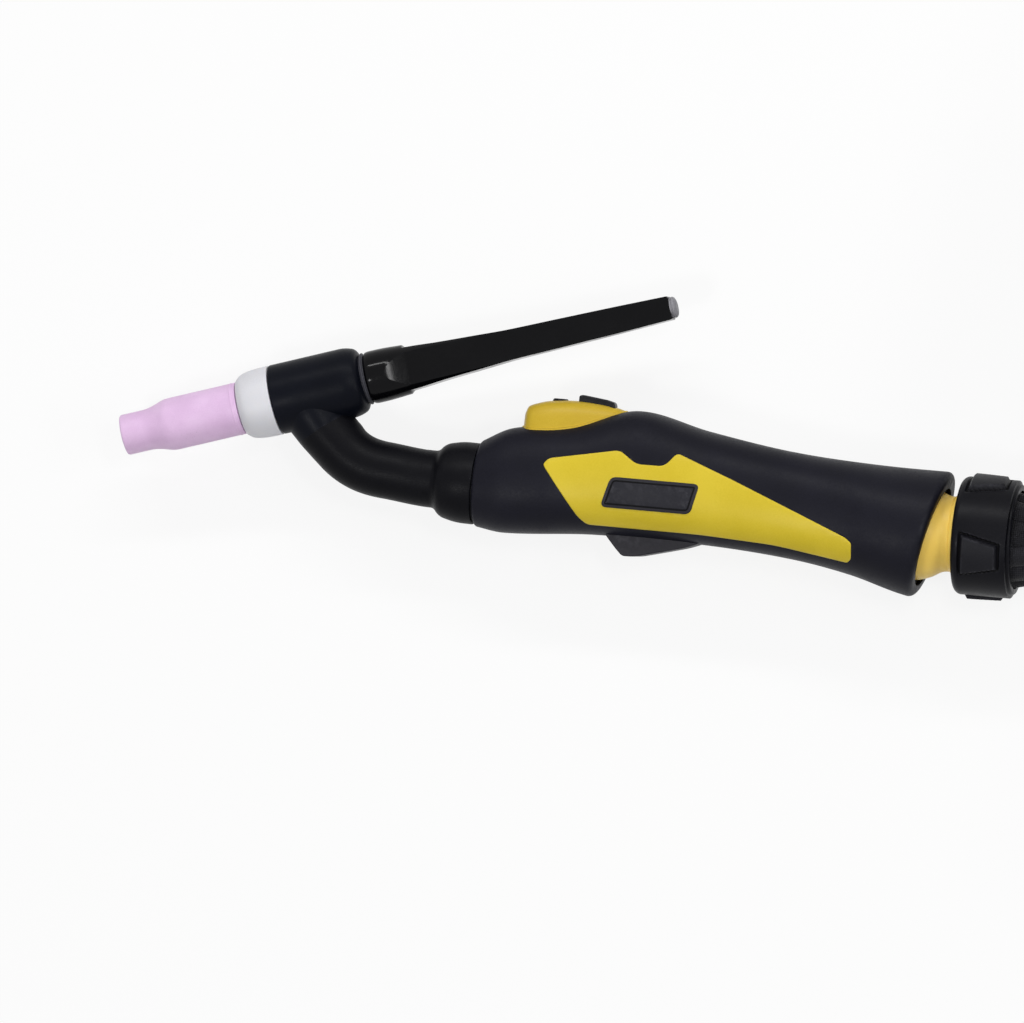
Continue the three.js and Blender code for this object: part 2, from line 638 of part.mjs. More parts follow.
function headCore() {
  const stemEnd = NECK_TOTAL - FLEX_LENGTH + ZONE_LENGTH / 2 - TUBE_JOINT_SPACE / 2;
  let core = toSolid(cylinder(CORE_X, HEAD_END - GAP, CORE_RADIUS, SIDES));
  core = core.add(toSolid(neckStub(0, stemEnd, TUBE_RADIUS, TUBE_RADIUS, SMALL_SIDES)));
  core = core.subtract(toSolid(neckStub(0, stemEnd + CUT_OVER, TUBE_BORE_RADIUS, TUBE_BORE_RADIUS, SMALL_SIDES)));
  const shankBore = cylinder(CORE_X - CUT_OVER, HEAD_END + CUT_OVER, SHANK_RADIUS + GAP, SIDES);
  return toGeometry(core.subtract(toSolid(shankBore)));
}

function colletBody() {
  const threadStart = THREAD_END - CUP_THREAD_LENGTH + THREAD_RUN_OUT;
  const bore = COLLET_RADIUS + GAP;
  return turned([
    [COLLET_BODY_START, ELECTRODE_RADIUS + GAP], [COLLET_BODY_START, COLLET_BODY_RADIUS],
    [threadStart, COLLET_BODY_RADIUS], [threadStart, CUP_THREAD_RADIUS], [THREAD_END, CUP_THREAD_RADIUS],
    [THREAD_END, SHANK_RADIUS], [SHANK_END, SHANK_RADIUS], [SHANK_END, bore], [COLLET_BODY_START + COLLET_SEAT, bore],
    [COLLET_BODY_START + COLLET_SEAT - COLLET_SEAT_TAPER, ELECTRODE_RADIUS + GAP],
  ], SMALL_SIDES, true);
}

function collet() {
  const start = COLLET_BODY_START + COLLET_SEAT + GAP;
  const end = start + COLLET_LENGTH;
  const sleeve = toSolid(tube(start, end, COLLET_RADIUS, ELECTRODE_RADIUS + GAP));
  const slot = toSolid(box(start - CUT_OVER, start + COLLET_SLOT_LENGTH, -COLLET_SLOT / 2, COLLET_SLOT / 2,
    -2 * COLLET_RADIUS, 2 * COLLET_RADIUS));
  return toGeometry(sleeve.subtract(slot));
}

function electrode() {
  const start = ELECTRODE_SETBACK;
  return turned([[start, 0], [start + ELECTRODE_POINT, ELECTRODE_RADIUS],
    [start + ELECTRODE_LENGTH, ELECTRODE_RADIUS], [start + ELECTRODE_LENGTH, 0]], SMALL_SIDES);
}

function backCap() {
  const end = CAP_X + CAP_LENGTH;
  const flatX = CAP_X + CAP_BASE_LENGTH;
  const tip = CAP_END_FORM.map(([back, size]) => [end - CAP_END_ROUNDING * back, CAP_END_RADIUS * size]);
  let cap = toSolid(turned([
    [CAP_SPIGOT_X, 0], [CAP_SPIGOT_X, SHANK_RADIUS], [CAP_X, SHANK_RADIUS],
    [CAP_X, CAP_BASE_RADIUS - CAP_BASE_EDGE], [CAP_X + CAP_BASE_EDGE, CAP_BASE_RADIUS],
    [CAP_X + CAP_BASE_STRAIGHT, CAP_BASE_RADIUS], [CAP_X + CAP_NECK_LENGTH, CAP_NECK_RADIUS], ...tip, [end, 0],
  ]));
  const taper = Math.atan2(CAP_FLAT_START - CAP_FLAT_END, end - flatX);
  for (let k = 0; k < CAP_FLAT_COUNT; k += 1) {
    const cut = box(0, CAP_LENGTH, 0, CAP_BASE_RADIUS, -2 * CAP_BASE_RADIUS, 2 * CAP_BASE_RADIUS);
    cut.rotateZ(-taper);
    cut.translate(flatX, CAP_FLAT_START, 0);
    cut.rotateX(2 * Math.PI * k / CAP_FLAT_COUNT);
    cap = cap.subtract(toSolid(cut));
  }
  const bore = cylinder(CAP_SPIGOT_X - CUT_OVER, CAP_SPIGOT_X + CAP_BORE_LENGTH, CAP_BORE_RADIUS);
  return toGeometry(cap.subtract(toSolid(bore)));
}

addPiece(headGroup, "ceramic_nozzle", ceramicNozzle(), CERAMIC);
addPiece(headGroup, "cup_insulator", cupInsulator(), WHITE);
addPiece(headGroup, "head_cover", headCover(), RUBBER);
addPiece(headGroup, "head_core", headCore(), BRASS);
addPiece(headGroup, "collet_body", colletBody(), COPPER);
addPiece(headGroup, "collet", collet(), COPPER);
addPiece(headGroup, "tungsten_electrode", electrode(), STEEL);
addPiece(headGroup, "cap_seal", tube(SEAL_X, SEAL_X + SEAL_THICKNESS, SEAL_RADIUS, SHANK_RADIUS + GAP, SIDES),
  SEAL_GREY);
addPiece(headGroup, "back_cap", backCap(), GLOSS_BLACK);

// ---- neck links: each carries a length of the rubber cover and of the copper tube ----
for (let k = 0; k < FLEX_ZONES; k += 1) {
  const hinge = hingeAt(k);
  addGroup(torch, `neck_hinge_${k + 1}`, hinge.point.x, hinge.point.y, hinge.heading);
}
for (let k = 1; k < FLEX_ZONES; k += 1) {
  const from = ZONE_LENGTH * (k - 0.5);
  const to = ZONE_LENGTH * (k + 0.5);
  addPiece(torch, `neck_cover_${k}`, neckSleeve(from + GAP / 2, to - GAP / 2, NECK_RADIUS, TUBE_RADIUS + GAP,
    SIDES), RUBBER);
  addPiece(torch, `neck_tube_${k}`,
    neckSleeve(from + TUBE_JOINT_SPACE / 2, to - TUBE_JOINT_SPACE / 2, TUBE_RADIUS, TUBE_BORE_RADIUS,
      SMALL_SIDES), COPPER);
}

// ---- neck collar and adaptor, on the handle ----
const FIRST_HINGE_X = hingeAt(0).point.x;

function neckCollar() {
  const bore = TUBE_RADIUS + TUBE_PLAY;
  const seat = ADAPTOR_RADIUS + GAP;
  const seatX = -ADAPTOR_LENGTH / 2 - GAP;
  const swell = COLLAR_FORM.map(([along, rise]) => [along - COLLAR_LENGTH,
    NECK_RADIUS + (COLLAR_RADIUS - NECK_RADIUS) * rise]);
  return turned([
    [FIRST_HINGE_X + GAP / 2, bore], [FIRST_HINGE_X + GAP / 2, NECK_RADIUS], [-COLLAR_LENGTH, NECK_RADIUS],
    ...swell, [-GAP, COLLAR_RADIUS], [-GAP, seat],
    [seatX, seat], [seatX, bore],
  ], SIDES, true).translate(0, NECK_START_Y, 0);
}

function neckAdaptor() {
  const start = FIRST_HINGE_X + TUBE_JOINT_SPACE / 2;
  const half = ADAPTOR_LENGTH / 2;
  return turned([
    [start, TUBE_BORE_RADIUS], [start, TUBE_RADIUS], [-half, TUBE_RADIUS], [-half, ADAPTOR_RADIUS],
    [half, ADAPTOR_RADIUS], [half, BARB_RADIUS], [half + BARB_LENGTH, BARB_RADIUS],
    [half + BARB_LENGTH, TUBE_BORE_RADIUS],
  ], SMALL_SIDES, true).translate(0, NECK_START_Y, 0);
}

addPiece(torch, "neck_collar", neckCollar(), RUBBER);
addPiece(torch, "neck_adaptor", neckAdaptor(), BRASS);

// ---- handle ----
const handleTop = curveThrough(HANDLE_TOP);
const handleBottom = curveThrough(HANDLE_BOTTOM);
const handleHalfWidth = curveThrough(HANDLE_HALF_WIDTH);
const handleSquareness = curveThrough(HANDLE_SQUARENESS);

// The handle's outer form between two stations, with its skin moved in or out.
function handleForm(offset, from, to, stations = HANDLE_STATIONS) {
  const rings = Array.from({ length: stations + 1 }, (_, k) => {
    const x = from + (to - from) * k / stations;
    const middle = (handleTop(x) + handleBottom(x)) / 2;
    const height = (handleTop(x) - handleBottom(x)) / 2 + offset;
    const width = handleHalfWidth(x) + offset;
    const power = 2 / handleSquareness(x);
    return Array.from({ length: SIDES }, (__, j) => {
      const angle = 2 * Math.PI * (j + 0.5) / SIDES;
      const [c, s] = [Math.cos(angle), Math.sin(angle)];
      return new THREE.Vector3(x, middle + height * Math.sign(s) * Math.abs(s) ** power,
        width * Math.sign(c) * Math.abs(c) ** power);
    });
  });
  return skinned(rings);
}

const CUT_REACH = HANDLE_RIM_X / 3;

// The handle's skin at a place seen from the side: its half width there.
function skinHalfWidth(x, y) {
  const middle = (handleTop(x) + handleBottom(x)) / 2;
  const height = (handleTop(x) - handleBottom(x)) / 2;
  const power = handleSquareness(x);
  return handleHalfWidth(x) * (1 - (Math.abs(y - middle) / height) ** power) ** (1 / power);
}

function housingPlan(offset) {
  const side = HOUSING_PLAN.slice(1, -1);
  const back = side.map(([x, z]) => [x, -z]).reverse();
  return grown([HOUSING_PLAN[0], ...side, HOUSING_PLAN[HOUSING_PLAN.length - 1], ...back], offset);
}

// A prism that stands along Y on an [x, z] outline.
function standing(outline, y0, y1) {
  const flat = prism(outline.map(([x, z]) => [x, -z]), y0, y1);
  return closed(flat.rotateX(-Math.PI / 2));
}

function alongZ(geometry, x, y) {
  geometry.rotateY(-Math.PI / 2);
  return geometry.translate(x, y, 0);
}

function rimCut() {
  const block = box(0, CUT_REACH, -CUT_REACH, CUT_REACH, -CUT_REACH, CUT_REACH);
  block.rotateZ(-deg(HANDLE_RIM_TILT));
  return toSolid(block.translate(HANDLE_RIM_X, BALL_Y, 0));
}

function screwFloor(x, y) {
  return skinHalfWidth(x, y) - SCREW_RECESS;
}

function hollowHandle() {
  let body = toSolid(handleForm(0, 0, HANDLE_END_X));
  const cavity = toSolid(handleForm(-HANDLE_WALL, HANDLE_WALL, BALL_X - CAVITY_SETBACK));
  body = body.subtract(cavity);
  const bossReach = toSolid(handleForm(-HANDLE_WALL / 2, 0, HANDLE_END_X));
  SCREW_PLACES.forEach(([x, y]) => {
    const boss = cylinder(-CUT_REACH, CUT_REACH, SCREW_HEAD_RADIUS + GAP + BOSS_WALL);
    body = body.add(toSolid(alongZ(boss, x, y)).intersect(bossReach));
  });
  const socket = sphere(BALL_RADIUS + 2 * BALL_GAP + LINER_THICKNESS).translate(BALL_X, BALL_Y, 0);
  body = body.subtract(toSolid(socket)).subtract(rimCut());
  const front = cylinder(-CUT_OVER, HANDLE_WALL + CUT_OVER, ADAPTOR_RADIUS + GAP, SIDES);
  body = body.subtract(toSolid(front.translate(0, NECK_START_Y, 0)));
  body = body.subtract(toSolid(standing(housingPlan(GAP), HOUSING_FLOOR_Y - HOUSING_POCKET, CUT_REACH)));
  SCREW_PLACES.forEach(([x, y]) => {
    const recess = cylinder(-CUT_REACH, -screwFloor(x, y) + GAP, SCREW_HEAD_RADIUS + GAP);
    const hole = cylinder(-CUT_REACH, SCREW_GRIP + CUT_OVER, SCREW_SHAFT_RADIUS + GAP);
    body = body.subtract(toSolid(alongZ(recess, x, y))).subtract(toSolid(alongZ(hole, x, y)));
  });
  return body;
}

// The band just under the handle's skin that lies inside a side outline.
function skinBand(outline, inside, outside) {
  const outer = toSolid(handleForm(outside, 0, HANDLE_END_X));
  const inner = toSolid(handleForm(inside, -CUT_OVER, HANDLE_END_X + CUT_OVER));
  return outer.subtract(inner).intersect(toSolid(prism(outline, -CUT_REACH, CUT_REACH)));
}

const leftHalf = toSolid(box(-CUT_REACH, 2 * HANDLE_END_X, -CUT_REACH, CUT_REACH, GAP / 2, CUT_REACH));
const rightHalf = toSolid(box(-CUT_REACH, 2 * HANDLE_END_X, -CUT_REACH, CUT_REACH, -CUT_REACH, -GAP / 2));

function buildShells() {
  const recess = skinBand(grown(INLAY_OUTLINE, GAP), -INLAY_DEPTH - GAP, INLAY_PROUD + CUT_OVER);
  const body = hollowHandle().subtract(recess);
  addPiece(torch, "handle_shell_left", toGeometry(body.intersect(leftHalf)), GRIP_BLACK);
  addPiece(torch, "handle_shell_right", toGeometry(body.intersect(rightHalf)), GRIP_BLACK);
}

function buildInlays() {
  const pocket = skinBand(grown(PLATE_OUTLINE, GAP), -PLATE_DEPTH - GAP, PLATE_PROUD + CUT_OVER);
  const inlays = skinBand(INLAY_OUTLINE, -INLAY_DEPTH, INLAY_PROUD).subtract(pocket);
  const plates = skinBand(PLATE_OUTLINE, -PLATE_DEPTH, PLATE_PROUD);
  addPiece(torch, "side_inlay_left", toGeometry(inlays.intersect(leftHalf)), YELLOW);
  addPiece(torch, "side_inlay_right", toGeometry(inlays.intersect(rightHalf)), YELLOW);
  addPiece(torch, "badge_plate_left", toGeometry(plates.intersect(leftHalf)), CHARCOAL);
  addPiece(torch, "badge_plate_right", toGeometry(plates.intersect(rightHalf)), CHARCOAL);
}

function buildScrews() {
  SCREW_PLACES.forEach(([x, y], k) => {
    const seat = -screwFloor(x, y);
    const screw = turned([
      [seat - SCREW_HEAD_HEIGHT, 0], [seat - SCREW_HEAD_HEIGHT, SCREW_HEAD_RADIUS], [seat, SCREW_HEAD_RADIUS],
      [seat, SCREW_SHAFT_RADIUS], [SCREW_GRIP, SCREW_SHAFT_RADIUS], [SCREW_GRIP, 0],
    ], SMALL_SIDES);
    addPiece(torch, `shell_screw_${k + 1}`, alongZ(screw, x, y), STEEL);
  });
}

buildShells();
buildInlays();
buildScrews();

function fingerStop() {
  const fin = toSolid(prism(STOP_OUTLINE, -STOP_HALF_WIDTH, STOP_HALF_WIDTH));
  return toGeometry(fin.subtract(toSolid(handleForm(GAP, 0, HANDLE_END_X))));
}

addPiece(torch, "finger_stop", fingerStop(), CHARCOAL);

// ---- switch housing, its keys and what they press ----
const crest = curveThrough(HOUSING_CREST);
const ROOF_INSIDE_Y = Math.min(crest(BUTTON_X), crest(KEY_FRONT_X + KEY_LENGTH)) - HOUSING_ROOF;
const BOARD_TOP_Y = HOUSING_FLOOR_Y - GAP;
const SWITCH_TOP_Y = BOARD_TOP_Y + GAP + SWITCH_HEIGHT;
const KEY_FOOT_Y = SWITCH_TOP_Y + KEY_TRAVEL + GAP;
const FLANGE_TOP_Y = ROOF_INSIDE_Y - GAP;

function keyOutline(offset) {
  const rear = KEY_FRONT_X + KEY_LENGTH;
  return grown([[KEY_FRONT_X, -KEY_HALF_WIDTH], [rear, -KEY_HALF_WIDTH], [rear, KEY_HALF_WIDTH],
    [KEY_FRONT_X, KEY_HALF_WIDTH]], offset);
}

// The housing's side outline, or the hollow's where the crest is lowered by the roof.
function housingSide(lowered, ceiling) {
  const [start, end] = [HOUSING_CREST[0][0], HOUSING_CREST[HOUSING_CREST.length - 1][0]];
  const side = [[start, HOUSING_FLOOR_Y - lowered]];
  for (let k = 0; k <= CREST_STEPS; k += 1) {
    const x = start + (end - start) * k / CREST_STEPS;
    side.push([x, Math.min(crest(x) - lowered, ceiling)]);
  }
  side.push([end, HOUSING_FLOOR_Y - lowered]);
  return side;
}

function switchHousing() {
  const outside = toSolid(prism(housingSide(0, CUT_REACH), -CUT_REACH, CUT_REACH));
  let housing = outside.intersect(toSolid(standing(housingPlan(0), HOUSING_FLOOR_Y, CUT_REACH)));
  const hollow = toSolid(prism(housingSide(HOUSING_ROOF, ROOF_INSIDE_Y), -CUT_REACH, CUT_REACH));
  const inside = toSolid(standing(housingPlan(-HOUSING_WALL), 0, CUT_REACH));
  housing = housing.subtract(hollow.intersect(inside));
  housing = housing.subtract(toSolid(standing(keyOutline(GAP), ROOF_INSIDE_Y - CUT_OVER, CUT_REACH)));
  const buttonHole = cylinder(ROOF_INSIDE_Y - CUT_OVER, CUT_REACH, BUTTON_RADIUS + GAP).rotateZ(Math.PI / 2);
  return toGeometry(housing.subtract(toSolid(buttonHole.translate(BUTTON_X, 0, 0))));
}

function switchBoard() {
  const plan = standing(housingPlan(-HOUSING_WALL / 2), BOARD_TOP_Y - BOARD_THICKNESS, BOARD_TOP_Y);
  const stretch = box(BOARD_FRONT_X, BOARD_FRONT_X + BOARD_LENGTH, 0, CUT_REACH, -CUT_REACH, CUT_REACH);
  return toGeometry(toSolid(plan).intersect(toSolid(stretch)));
}

function frontButton() {
  const flange = BUTTON_RADIUS + KEY_FLANGE;
  const foot = FLANGE_TOP_Y - KEY_FLANGE_THICKNESS;
  return turned([
    [KEY_FOOT_Y, 0], [KEY_FOOT_Y, BUTTON_RADIUS], [foot, BUTTON_RADIUS], [foot, flange], [FLANGE_TOP_Y, flange],
    [FLANGE_TOP_Y, BUTTON_RADIUS], [BUTTON_TOP_Y - BUTTON_EDGE, BUTTON_RADIUS], [BUTTON_TOP_Y, BUTTON_CROWN_RADIUS],
    [BUTTON_TOP_Y, 0],
  ], SMALL_SIDES).rotateZ(Math.PI / 2).translate(BUTTON_X, 0, 0);
}

function rearKey() {
  const rear = KEY_FRONT_X + KEY_LENGTH;
  const rearTop = KEY_TOP_Y - KEY_SLOPE;
  const side = [[KEY_FRONT_X, KEY_FOOT_Y], [KEY_FRONT_X, KEY_TOP_Y - KEY_EDGE], [KEY_FRONT_X + KEY_EDGE, KEY_TOP_Y],
    [rear - KEY_EDGE, rearTop], [rear, rearTop - KEY_EDGE], [rear, KEY_FOOT_Y]];
  const stem = toSolid(prism(side, -KEY_HALF_WIDTH, KEY_HALF_WIDTH));
  const flange = standing(keyOutline(KEY_FLANGE), FLANGE_TOP_Y - KEY_FLANGE_THICKNESS, FLANGE_TOP_Y);
  return toGeometry(stem.add(toSolid(flange)));
}

function microswitch(x) {
  const half = SWITCH_SIZE / 2;
  return box(x - half, x + half, BOARD_TOP_Y + GAP, SWITCH_TOP_Y, -half, half);
}

addPiece(torch, "switch_housing", switchHousing(), YELLOW);
addPiece(torch, "front_button", frontButton(), GLOSS_BLACK);
addPiece(torch, "rear_key", rearKey(), GLOSS_BLACK);
addPiece(torch, "switch_board", switchBoard(), BOARD_GREEN);
addPiece(torch, "microswitch_front", microswitch(BUTTON_X), GLOSS_BLACK);
addPiece(torch, "microswitch_rear", microswitch(KEY_FRONT_X + KEY_LENGTH / 2), GLOSS_BLACK);

// ---- hose and lead in the handle ----

// A solid bar of round section along points, its end faces square to the first and last stretch.
function bar(points, radius, sides) {
  const curve = new THREE.CatmullRomCurve3(points, false, "centripetal");
  const shape = new THREE.Shape(Array.from({ length: sides }, (_, j) => {
    const angle = 2 * Math.PI * j / sides;
    return new THREE.Vector2(radius * Math.cos(angle), radius * Math.sin(angle));
  }));
  const steps = (points.length - 1) * STEPS_PER_STRETCH;
  return closed(new THREE.ExtrudeGeometry(shape, { steps, bevelEnabled: false, extrudePath: curve }));
}

function innerHose() {
  const hose = tube(ADAPTOR_LENGTH / 2 + GAP, HOSE_END_X, HOSE_RADIUS, BARB_RADIUS + GAP);
  return hose.translate(0, NECK_START_Y, 0);
}

function hoseClamp() {
  const bore = HOSE_RADIUS + GAP;
  return tube(CLAMP_X, CLAMP_X + CLAMP_WIDTH, bore + CLAMP_WALL, bore).translate(0, NECK_START_Y, 0);
}

function controlLead() {
  const start = [BOARD_FRONT_X + BOARD_LENGTH + GAP, BOARD_TOP_Y - GAP - CONTROL_LEAD_RADIUS];
  const route = [start, ...CONTROL_LEAD_ROUTE];
  return bar(route.map(([x, y]) => new THREE.Vector3(x, y, 0)), CONTROL_LEAD_RADIUS, CONTROL_LEAD_SIDES);
}

addPiece(torch, "gas_power_hose", innerHose(), RUBBER);
addPiece(torch, "hose_clamp", hoseClamp(), STEEL);
addPiece(torch, "control_lead", controlLead(), RUBBER);

// ---- ball joint, in the ball's own axes ----
const ballGroup = addGroup(torch, "ball_centre", BALL_X, BALL_Y);

// Points of an arc about the ball's centre, [x, radius], between two distances along the axis.
function arcPoints(radius, from, to, steps) {
  const [first, last] = [Math.acos(from / radius), Math.acos(to / radius)];
  return Array.from({ length: steps + 1 }, (_, k) => {
    const angle = first + (last - first) * k / steps;
    return [radius * Math.cos(angle), radius * Math.sin(angle)];
  });
}

function jointBall() {
  const stubStart = Math.sqrt(BALL_RADIUS ** 2 - BALL_STUB_RADIUS ** 2);
  const stubEnd = COLLAR_FROM_BALL + SWIVEL_DEPTH;
  return turned([
    [-BALL_FRONT, BALL_BORE_RADIUS], ...arcPoints(BALL_RADIUS, -BALL_FRONT, stubStart, BALL_STEPS),
    [stubEnd, BALL_STUB_RADIUS], [stubEnd, BALL_BORE_RADIUS],
  ], BALL_SIDES, true);
}

function socketLiner() {
  const inner = BALL_RADIUS + BALL_GAP;
  const outer = inner + LINER_THICKNESS;
  const skin = arcPoints(outer, -LINER_FRONT, LINER_REAR, BALL_STEPS);
  const lining = arcPoints(inner, -LINER_FRONT, LINER_REAR, BALL_STEPS);
  const ring = toSolid(turned([...skin, ...lining.reverse()], BALL_SIDES, true));
  const block = box(0, CUT_REACH, -CUT_REACH, CUT_REACH, -CUT_REACH, CUT_REACH);
  block.rotateZ(-deg(HANDLE_RIM_TILT)).translate(HANDLE_RIM_X - BALL_X - LINER_SETBACK, 0, 0);
  return toGeometry(ring.subtract(toSolid(block)));
}

function grip(k) {
  const start = COLLAR_FROM_BALL + GRIP_START;
  const top = CABLE_COLLAR_RADIUS + GRIP_HEIGHT;
  const half = (angle) => top * Math.sin(deg(angle));
  const outline = [[start, -half(GRIP_FRONT_HALF_ANGLE)], [start + GRIP_LENGTH, -half(GRIP_REAR_HALF_ANGLE)],
    [start + GRIP_LENGTH, half(GRIP_REAR_HALF_ANGLE)], [start, half(GRIP_FRONT_HALF_ANGLE)]];
  const pad = toSolid(cylinder(start, start + GRIP_LENGTH, top, BALL_SIDES));
  const side = toSolid(prism(outline, 0, CUT_REACH));
  const core = toSolid(cylinder(start - CUT_OVER, start + GRIP_LENGTH + CUT_OVER, CABLE_COLLAR_RADIUS - CUT_OVER,
    BALL_SIDES));
  const angle = GRIP_FIRST_ANGLE + 360 * k / GRIP_COUNT;
  return toSolid(toGeometry(pad.intersect(side).subtract(core)).rotateX(-deg(angle)));
}

function cableCollar() {
  const start = COLLAR_FROM_BALL;
  const end = start + CABLE_COLLAR_LENGTH;
  const edge = CABLE_COLLAR_EDGE_FORM.map(([along, inward]) => [start + CABLE_COLLAR_ROUNDING * along,
    CABLE_COLLAR_RADIUS - CABLE_COLLAR_ROUNDING * inward]);
  const seat = BALL_STUB_RADIUS + BALL_GAP;
  const seatEnd = start + SWIVEL_DEPTH + BALL_GAP;
  const bore = SWIVEL_HOSE_RADIUS + GAP;
  let collar = toSolid(turned([
    [start, seat], ...edge, [end - CABLE_COLLAR_REAR_LENGTH, CABLE_COLLAR_RADIUS],
    [end, CABLE_COLLAR_REAR_RADIUS], [end, bore], [seatEnd, bore], [seatEnd, seat],
  ], BALL_SIDES, true));
  for (let k = 0; k < GRIP_COUNT; k += 1) {
    collar = collar.add(grip(k));
  }
  return toGeometry(collar);
}

const COLLAR_END = COLLAR_FROM_BALL + CABLE_COLLAR_LENGTH;

function swivelHose() {
  return cylinder(-SWIVEL_HOSE_FRONT, COLLAR_END + SWIVEL_HOSE_REAR, SWIVEL_HOSE_RADIUS);
}

// The cover drawn in over the cable: pleats that run out towards the cable's own radius.
function sleeveGather() {
  const start = COLLAR_END + GAP;
  const count = GATHER_PLEATS * POINTS_PER_PLEAT;
  const rings = [];
  for (let k = 0; k <= GATHER_STEPS; k += 1) {
    const t = k / GATHER_STEPS;
    const ease = t * t * (3 - 2 * t);
    const radius = GATHER_RADIUS + (CABLE_RADIUS - GATHER_RADIUS) * ease;
    const depth = GATHER_PLEAT_DEPTH * (1 - t);
    rings.push(Array.from({ length: count }, (_, j) => {
      const angle = 2 * Math.PI * j / count;
      const r = radius + (depth * (Math.cos(GATHER_PLEATS * angle) - 1)) / 2;
      return new THREE.Vector3(start + GATHER_LENGTH * t, r * Math.cos(angle), r * Math.sin(angle));
    }));
  }
  const gather = toSolid(skinned(rings));
  const bore = cylinder(start - CUT_OVER, COLLAR_END + SWIVEL_HOSE_REAR + GAP, SWIVEL_HOSE_RADIUS + GAP);
  return toGeometry(gather.subtract(toSolid(bore)));
}

addPiece(ballGroup, "joint_ball", jointBall(), YELLOW);
addPiece(ballGroup, "socket_liner", socketLiner(), RUBBER);
addPiece(ballGroup, "cable_collar", cableCollar(), CHARCOAL);
addPiece(ballGroup, "swivel_hose", swivelHose(), RUBBER);
addPiece(ballGroup, "cover_gather", sleeveGather(), TEXTILE);

// ---- the torch stands with its lowest point on the floor and its box centred on the origin ----
torch.updateMatrixWorld(true);
const reach = new THREE.Box3().setFromObject(torch, true);
part.position.set(-(reach.min.x + reach.max.x) / 2, -(reach.min.y + reach.max.y) / 2, -reach.min.z);
const FLOOR_Z = reach.min.z;

// ---- cable, in the torch's axes with its heights above the floor ----
const CABLE_START_X = BALL_X + COLLAR_END + 2 * GAP + GATHER_LENGTH;
const FIRST_LAYER_HEIGHT = TIE_THICKNESS + GAP + CABLE_RADIUS;
const COIL_TURNS = COIL_LAYERS * (COIL_LAYER_TURNS + COIL_CLIMB_TURNS);
const floorPoint = (x, y, height) => new THREE.Vector3(x, y, height + FLOOR_Z);

// A point of the coil after some turns. Each layer spirals in or out, reverses half way up a climb of half a
// turn, and so lies a pitch above the one before.
function coilAt(turn) {
  const period = COIL_LAYER_TURNS + COIL_CLIMB_TURNS;
  const along = (turn + COIL_CLIMB_TURNS / 2) % (2 * period);
  const inward = Math.min(along, 2 * period - along);
  const radius = COIL_MEAN_RADIUS + COIL_PITCH * (period / 2 + COIL_CLIMB_TURNS / 4 - inward);
  const layer = Math.min(Math.floor(turn / period), COIL_LAYERS - 1);
  const climb = THREE.MathUtils.clamp((turn - layer * period - COIL_LAYER_TURNS) / COIL_CLIMB_TURNS, 0, 1);
  const height = FIRST_LAYER_HEIGHT + LAYER_HEIGHT * (layer + THREE.MathUtils.smoothstep(climb, 0, 1));
  const angle = deg(COIL_START_ANGLE) + 2 * Math.PI * turn;
  return floorPoint(COIL_X + radius * Math.cos(angle), COIL_Y + radius * Math.sin(angle), height);
}

// A point on the straight run that leads into the coil, or out of it, at a distance from the winding.
function beyondCoil(turn, distance) {
  const angle = deg(COIL_START_ANGLE) + 2 * Math.PI * turn;
  const onward = new THREE.Vector3(-Math.sin(angle), Math.cos(angle), 0);
  return coilAt(turn).addScaledVector(onward, turn > 0 ? distance : -distance);
}

function coilPath() {
  const steps = Math.round(COIL_TURNS * COIL_STEPS_PER_TURN);
  const winding = Array.from({ length: steps + 1 }, (_, k) => coilAt(COIL_TURNS * k / steps));
  const run = 2 * CABLE_RADIUS;
  return [beyondCoil(0, run), ...winding, beyondCoil(COIL_TURNS, run)];
}

// Six-sided sections along the path, each square to it and standing on a corner.
function cableCoil(path) {
  const up = new THREE.Vector3(0, 0, 1);
  const rings = path.map((point, k) => {
    const before = path[Math.max(k - 1, 0)];
    const after = path[Math.min(k + 1, path.length - 1)];
    const side = new THREE.Vector3().subVectors(after, before).cross(up).normalize();
    const rise = side.clone().cross(new THREE.Vector3().subVectors(after, before)).normalize();
    return Array.from({ length: COIL_SIDES }, (_, j) => {
      const angle = 2 * Math.PI * j / COIL_SIDES;
      return point.clone().addScaledVector(rise, CABLE_RADIUS * Math.cos(angle))
        .addScaledVector(side, CABLE_RADIUS * Math.sin(angle));
    });
  });
  return skinned(rings);
}

// The least gap between turns of the coil, on points more than half a turn apart.
function leastGap(path) {
  const apart = COIL_STEPS_PER_TURN / 2;
  let least = Infinity;
  path.forEach((point, k) => {
    for (let other = k + apart; other < path.length - 1; other += 1) {
      const segment = new THREE.Line3(path[other], path[other + 1]);
      const nearest = segment.closestPointToPoint(point, true, new THREE.Vector3());
      least = Math.min(least, nearest.distanceTo(point) - 2 * CABLE_RADIUS);
    }
  });
  return least;
}

function cableLead() {
  const end = 2 * CABLE_RADIUS + GAP;
  const route = [floorPoint(CABLE_START_X, ...LEAD_ROUTE[0].slice(1)), ...LEAD_ROUTE.map((p) => floorPoint(...p)),
    beyondCoil(0, end + ROUTE_END_RUN), beyondCoil(0, end)];
  return bar(route, CABLE_RADIUS, CABLE_SIDES);
}

function cableTail() {
  const start = 2 * CABLE_RADIUS + GAP;
  const route = [beyondCoil(COIL_TURNS, start), beyondCoil(COIL_TURNS, start + ROUTE_END_RUN),
    ...TAIL_ROUTE.map((p) => floorPoint(...p)), floorPoint(PLUG_X, PLUG_Y, PLUG_HEIGHT)];
  return bar(route, CABLE_RADIUS, CABLE_SIDES);
}

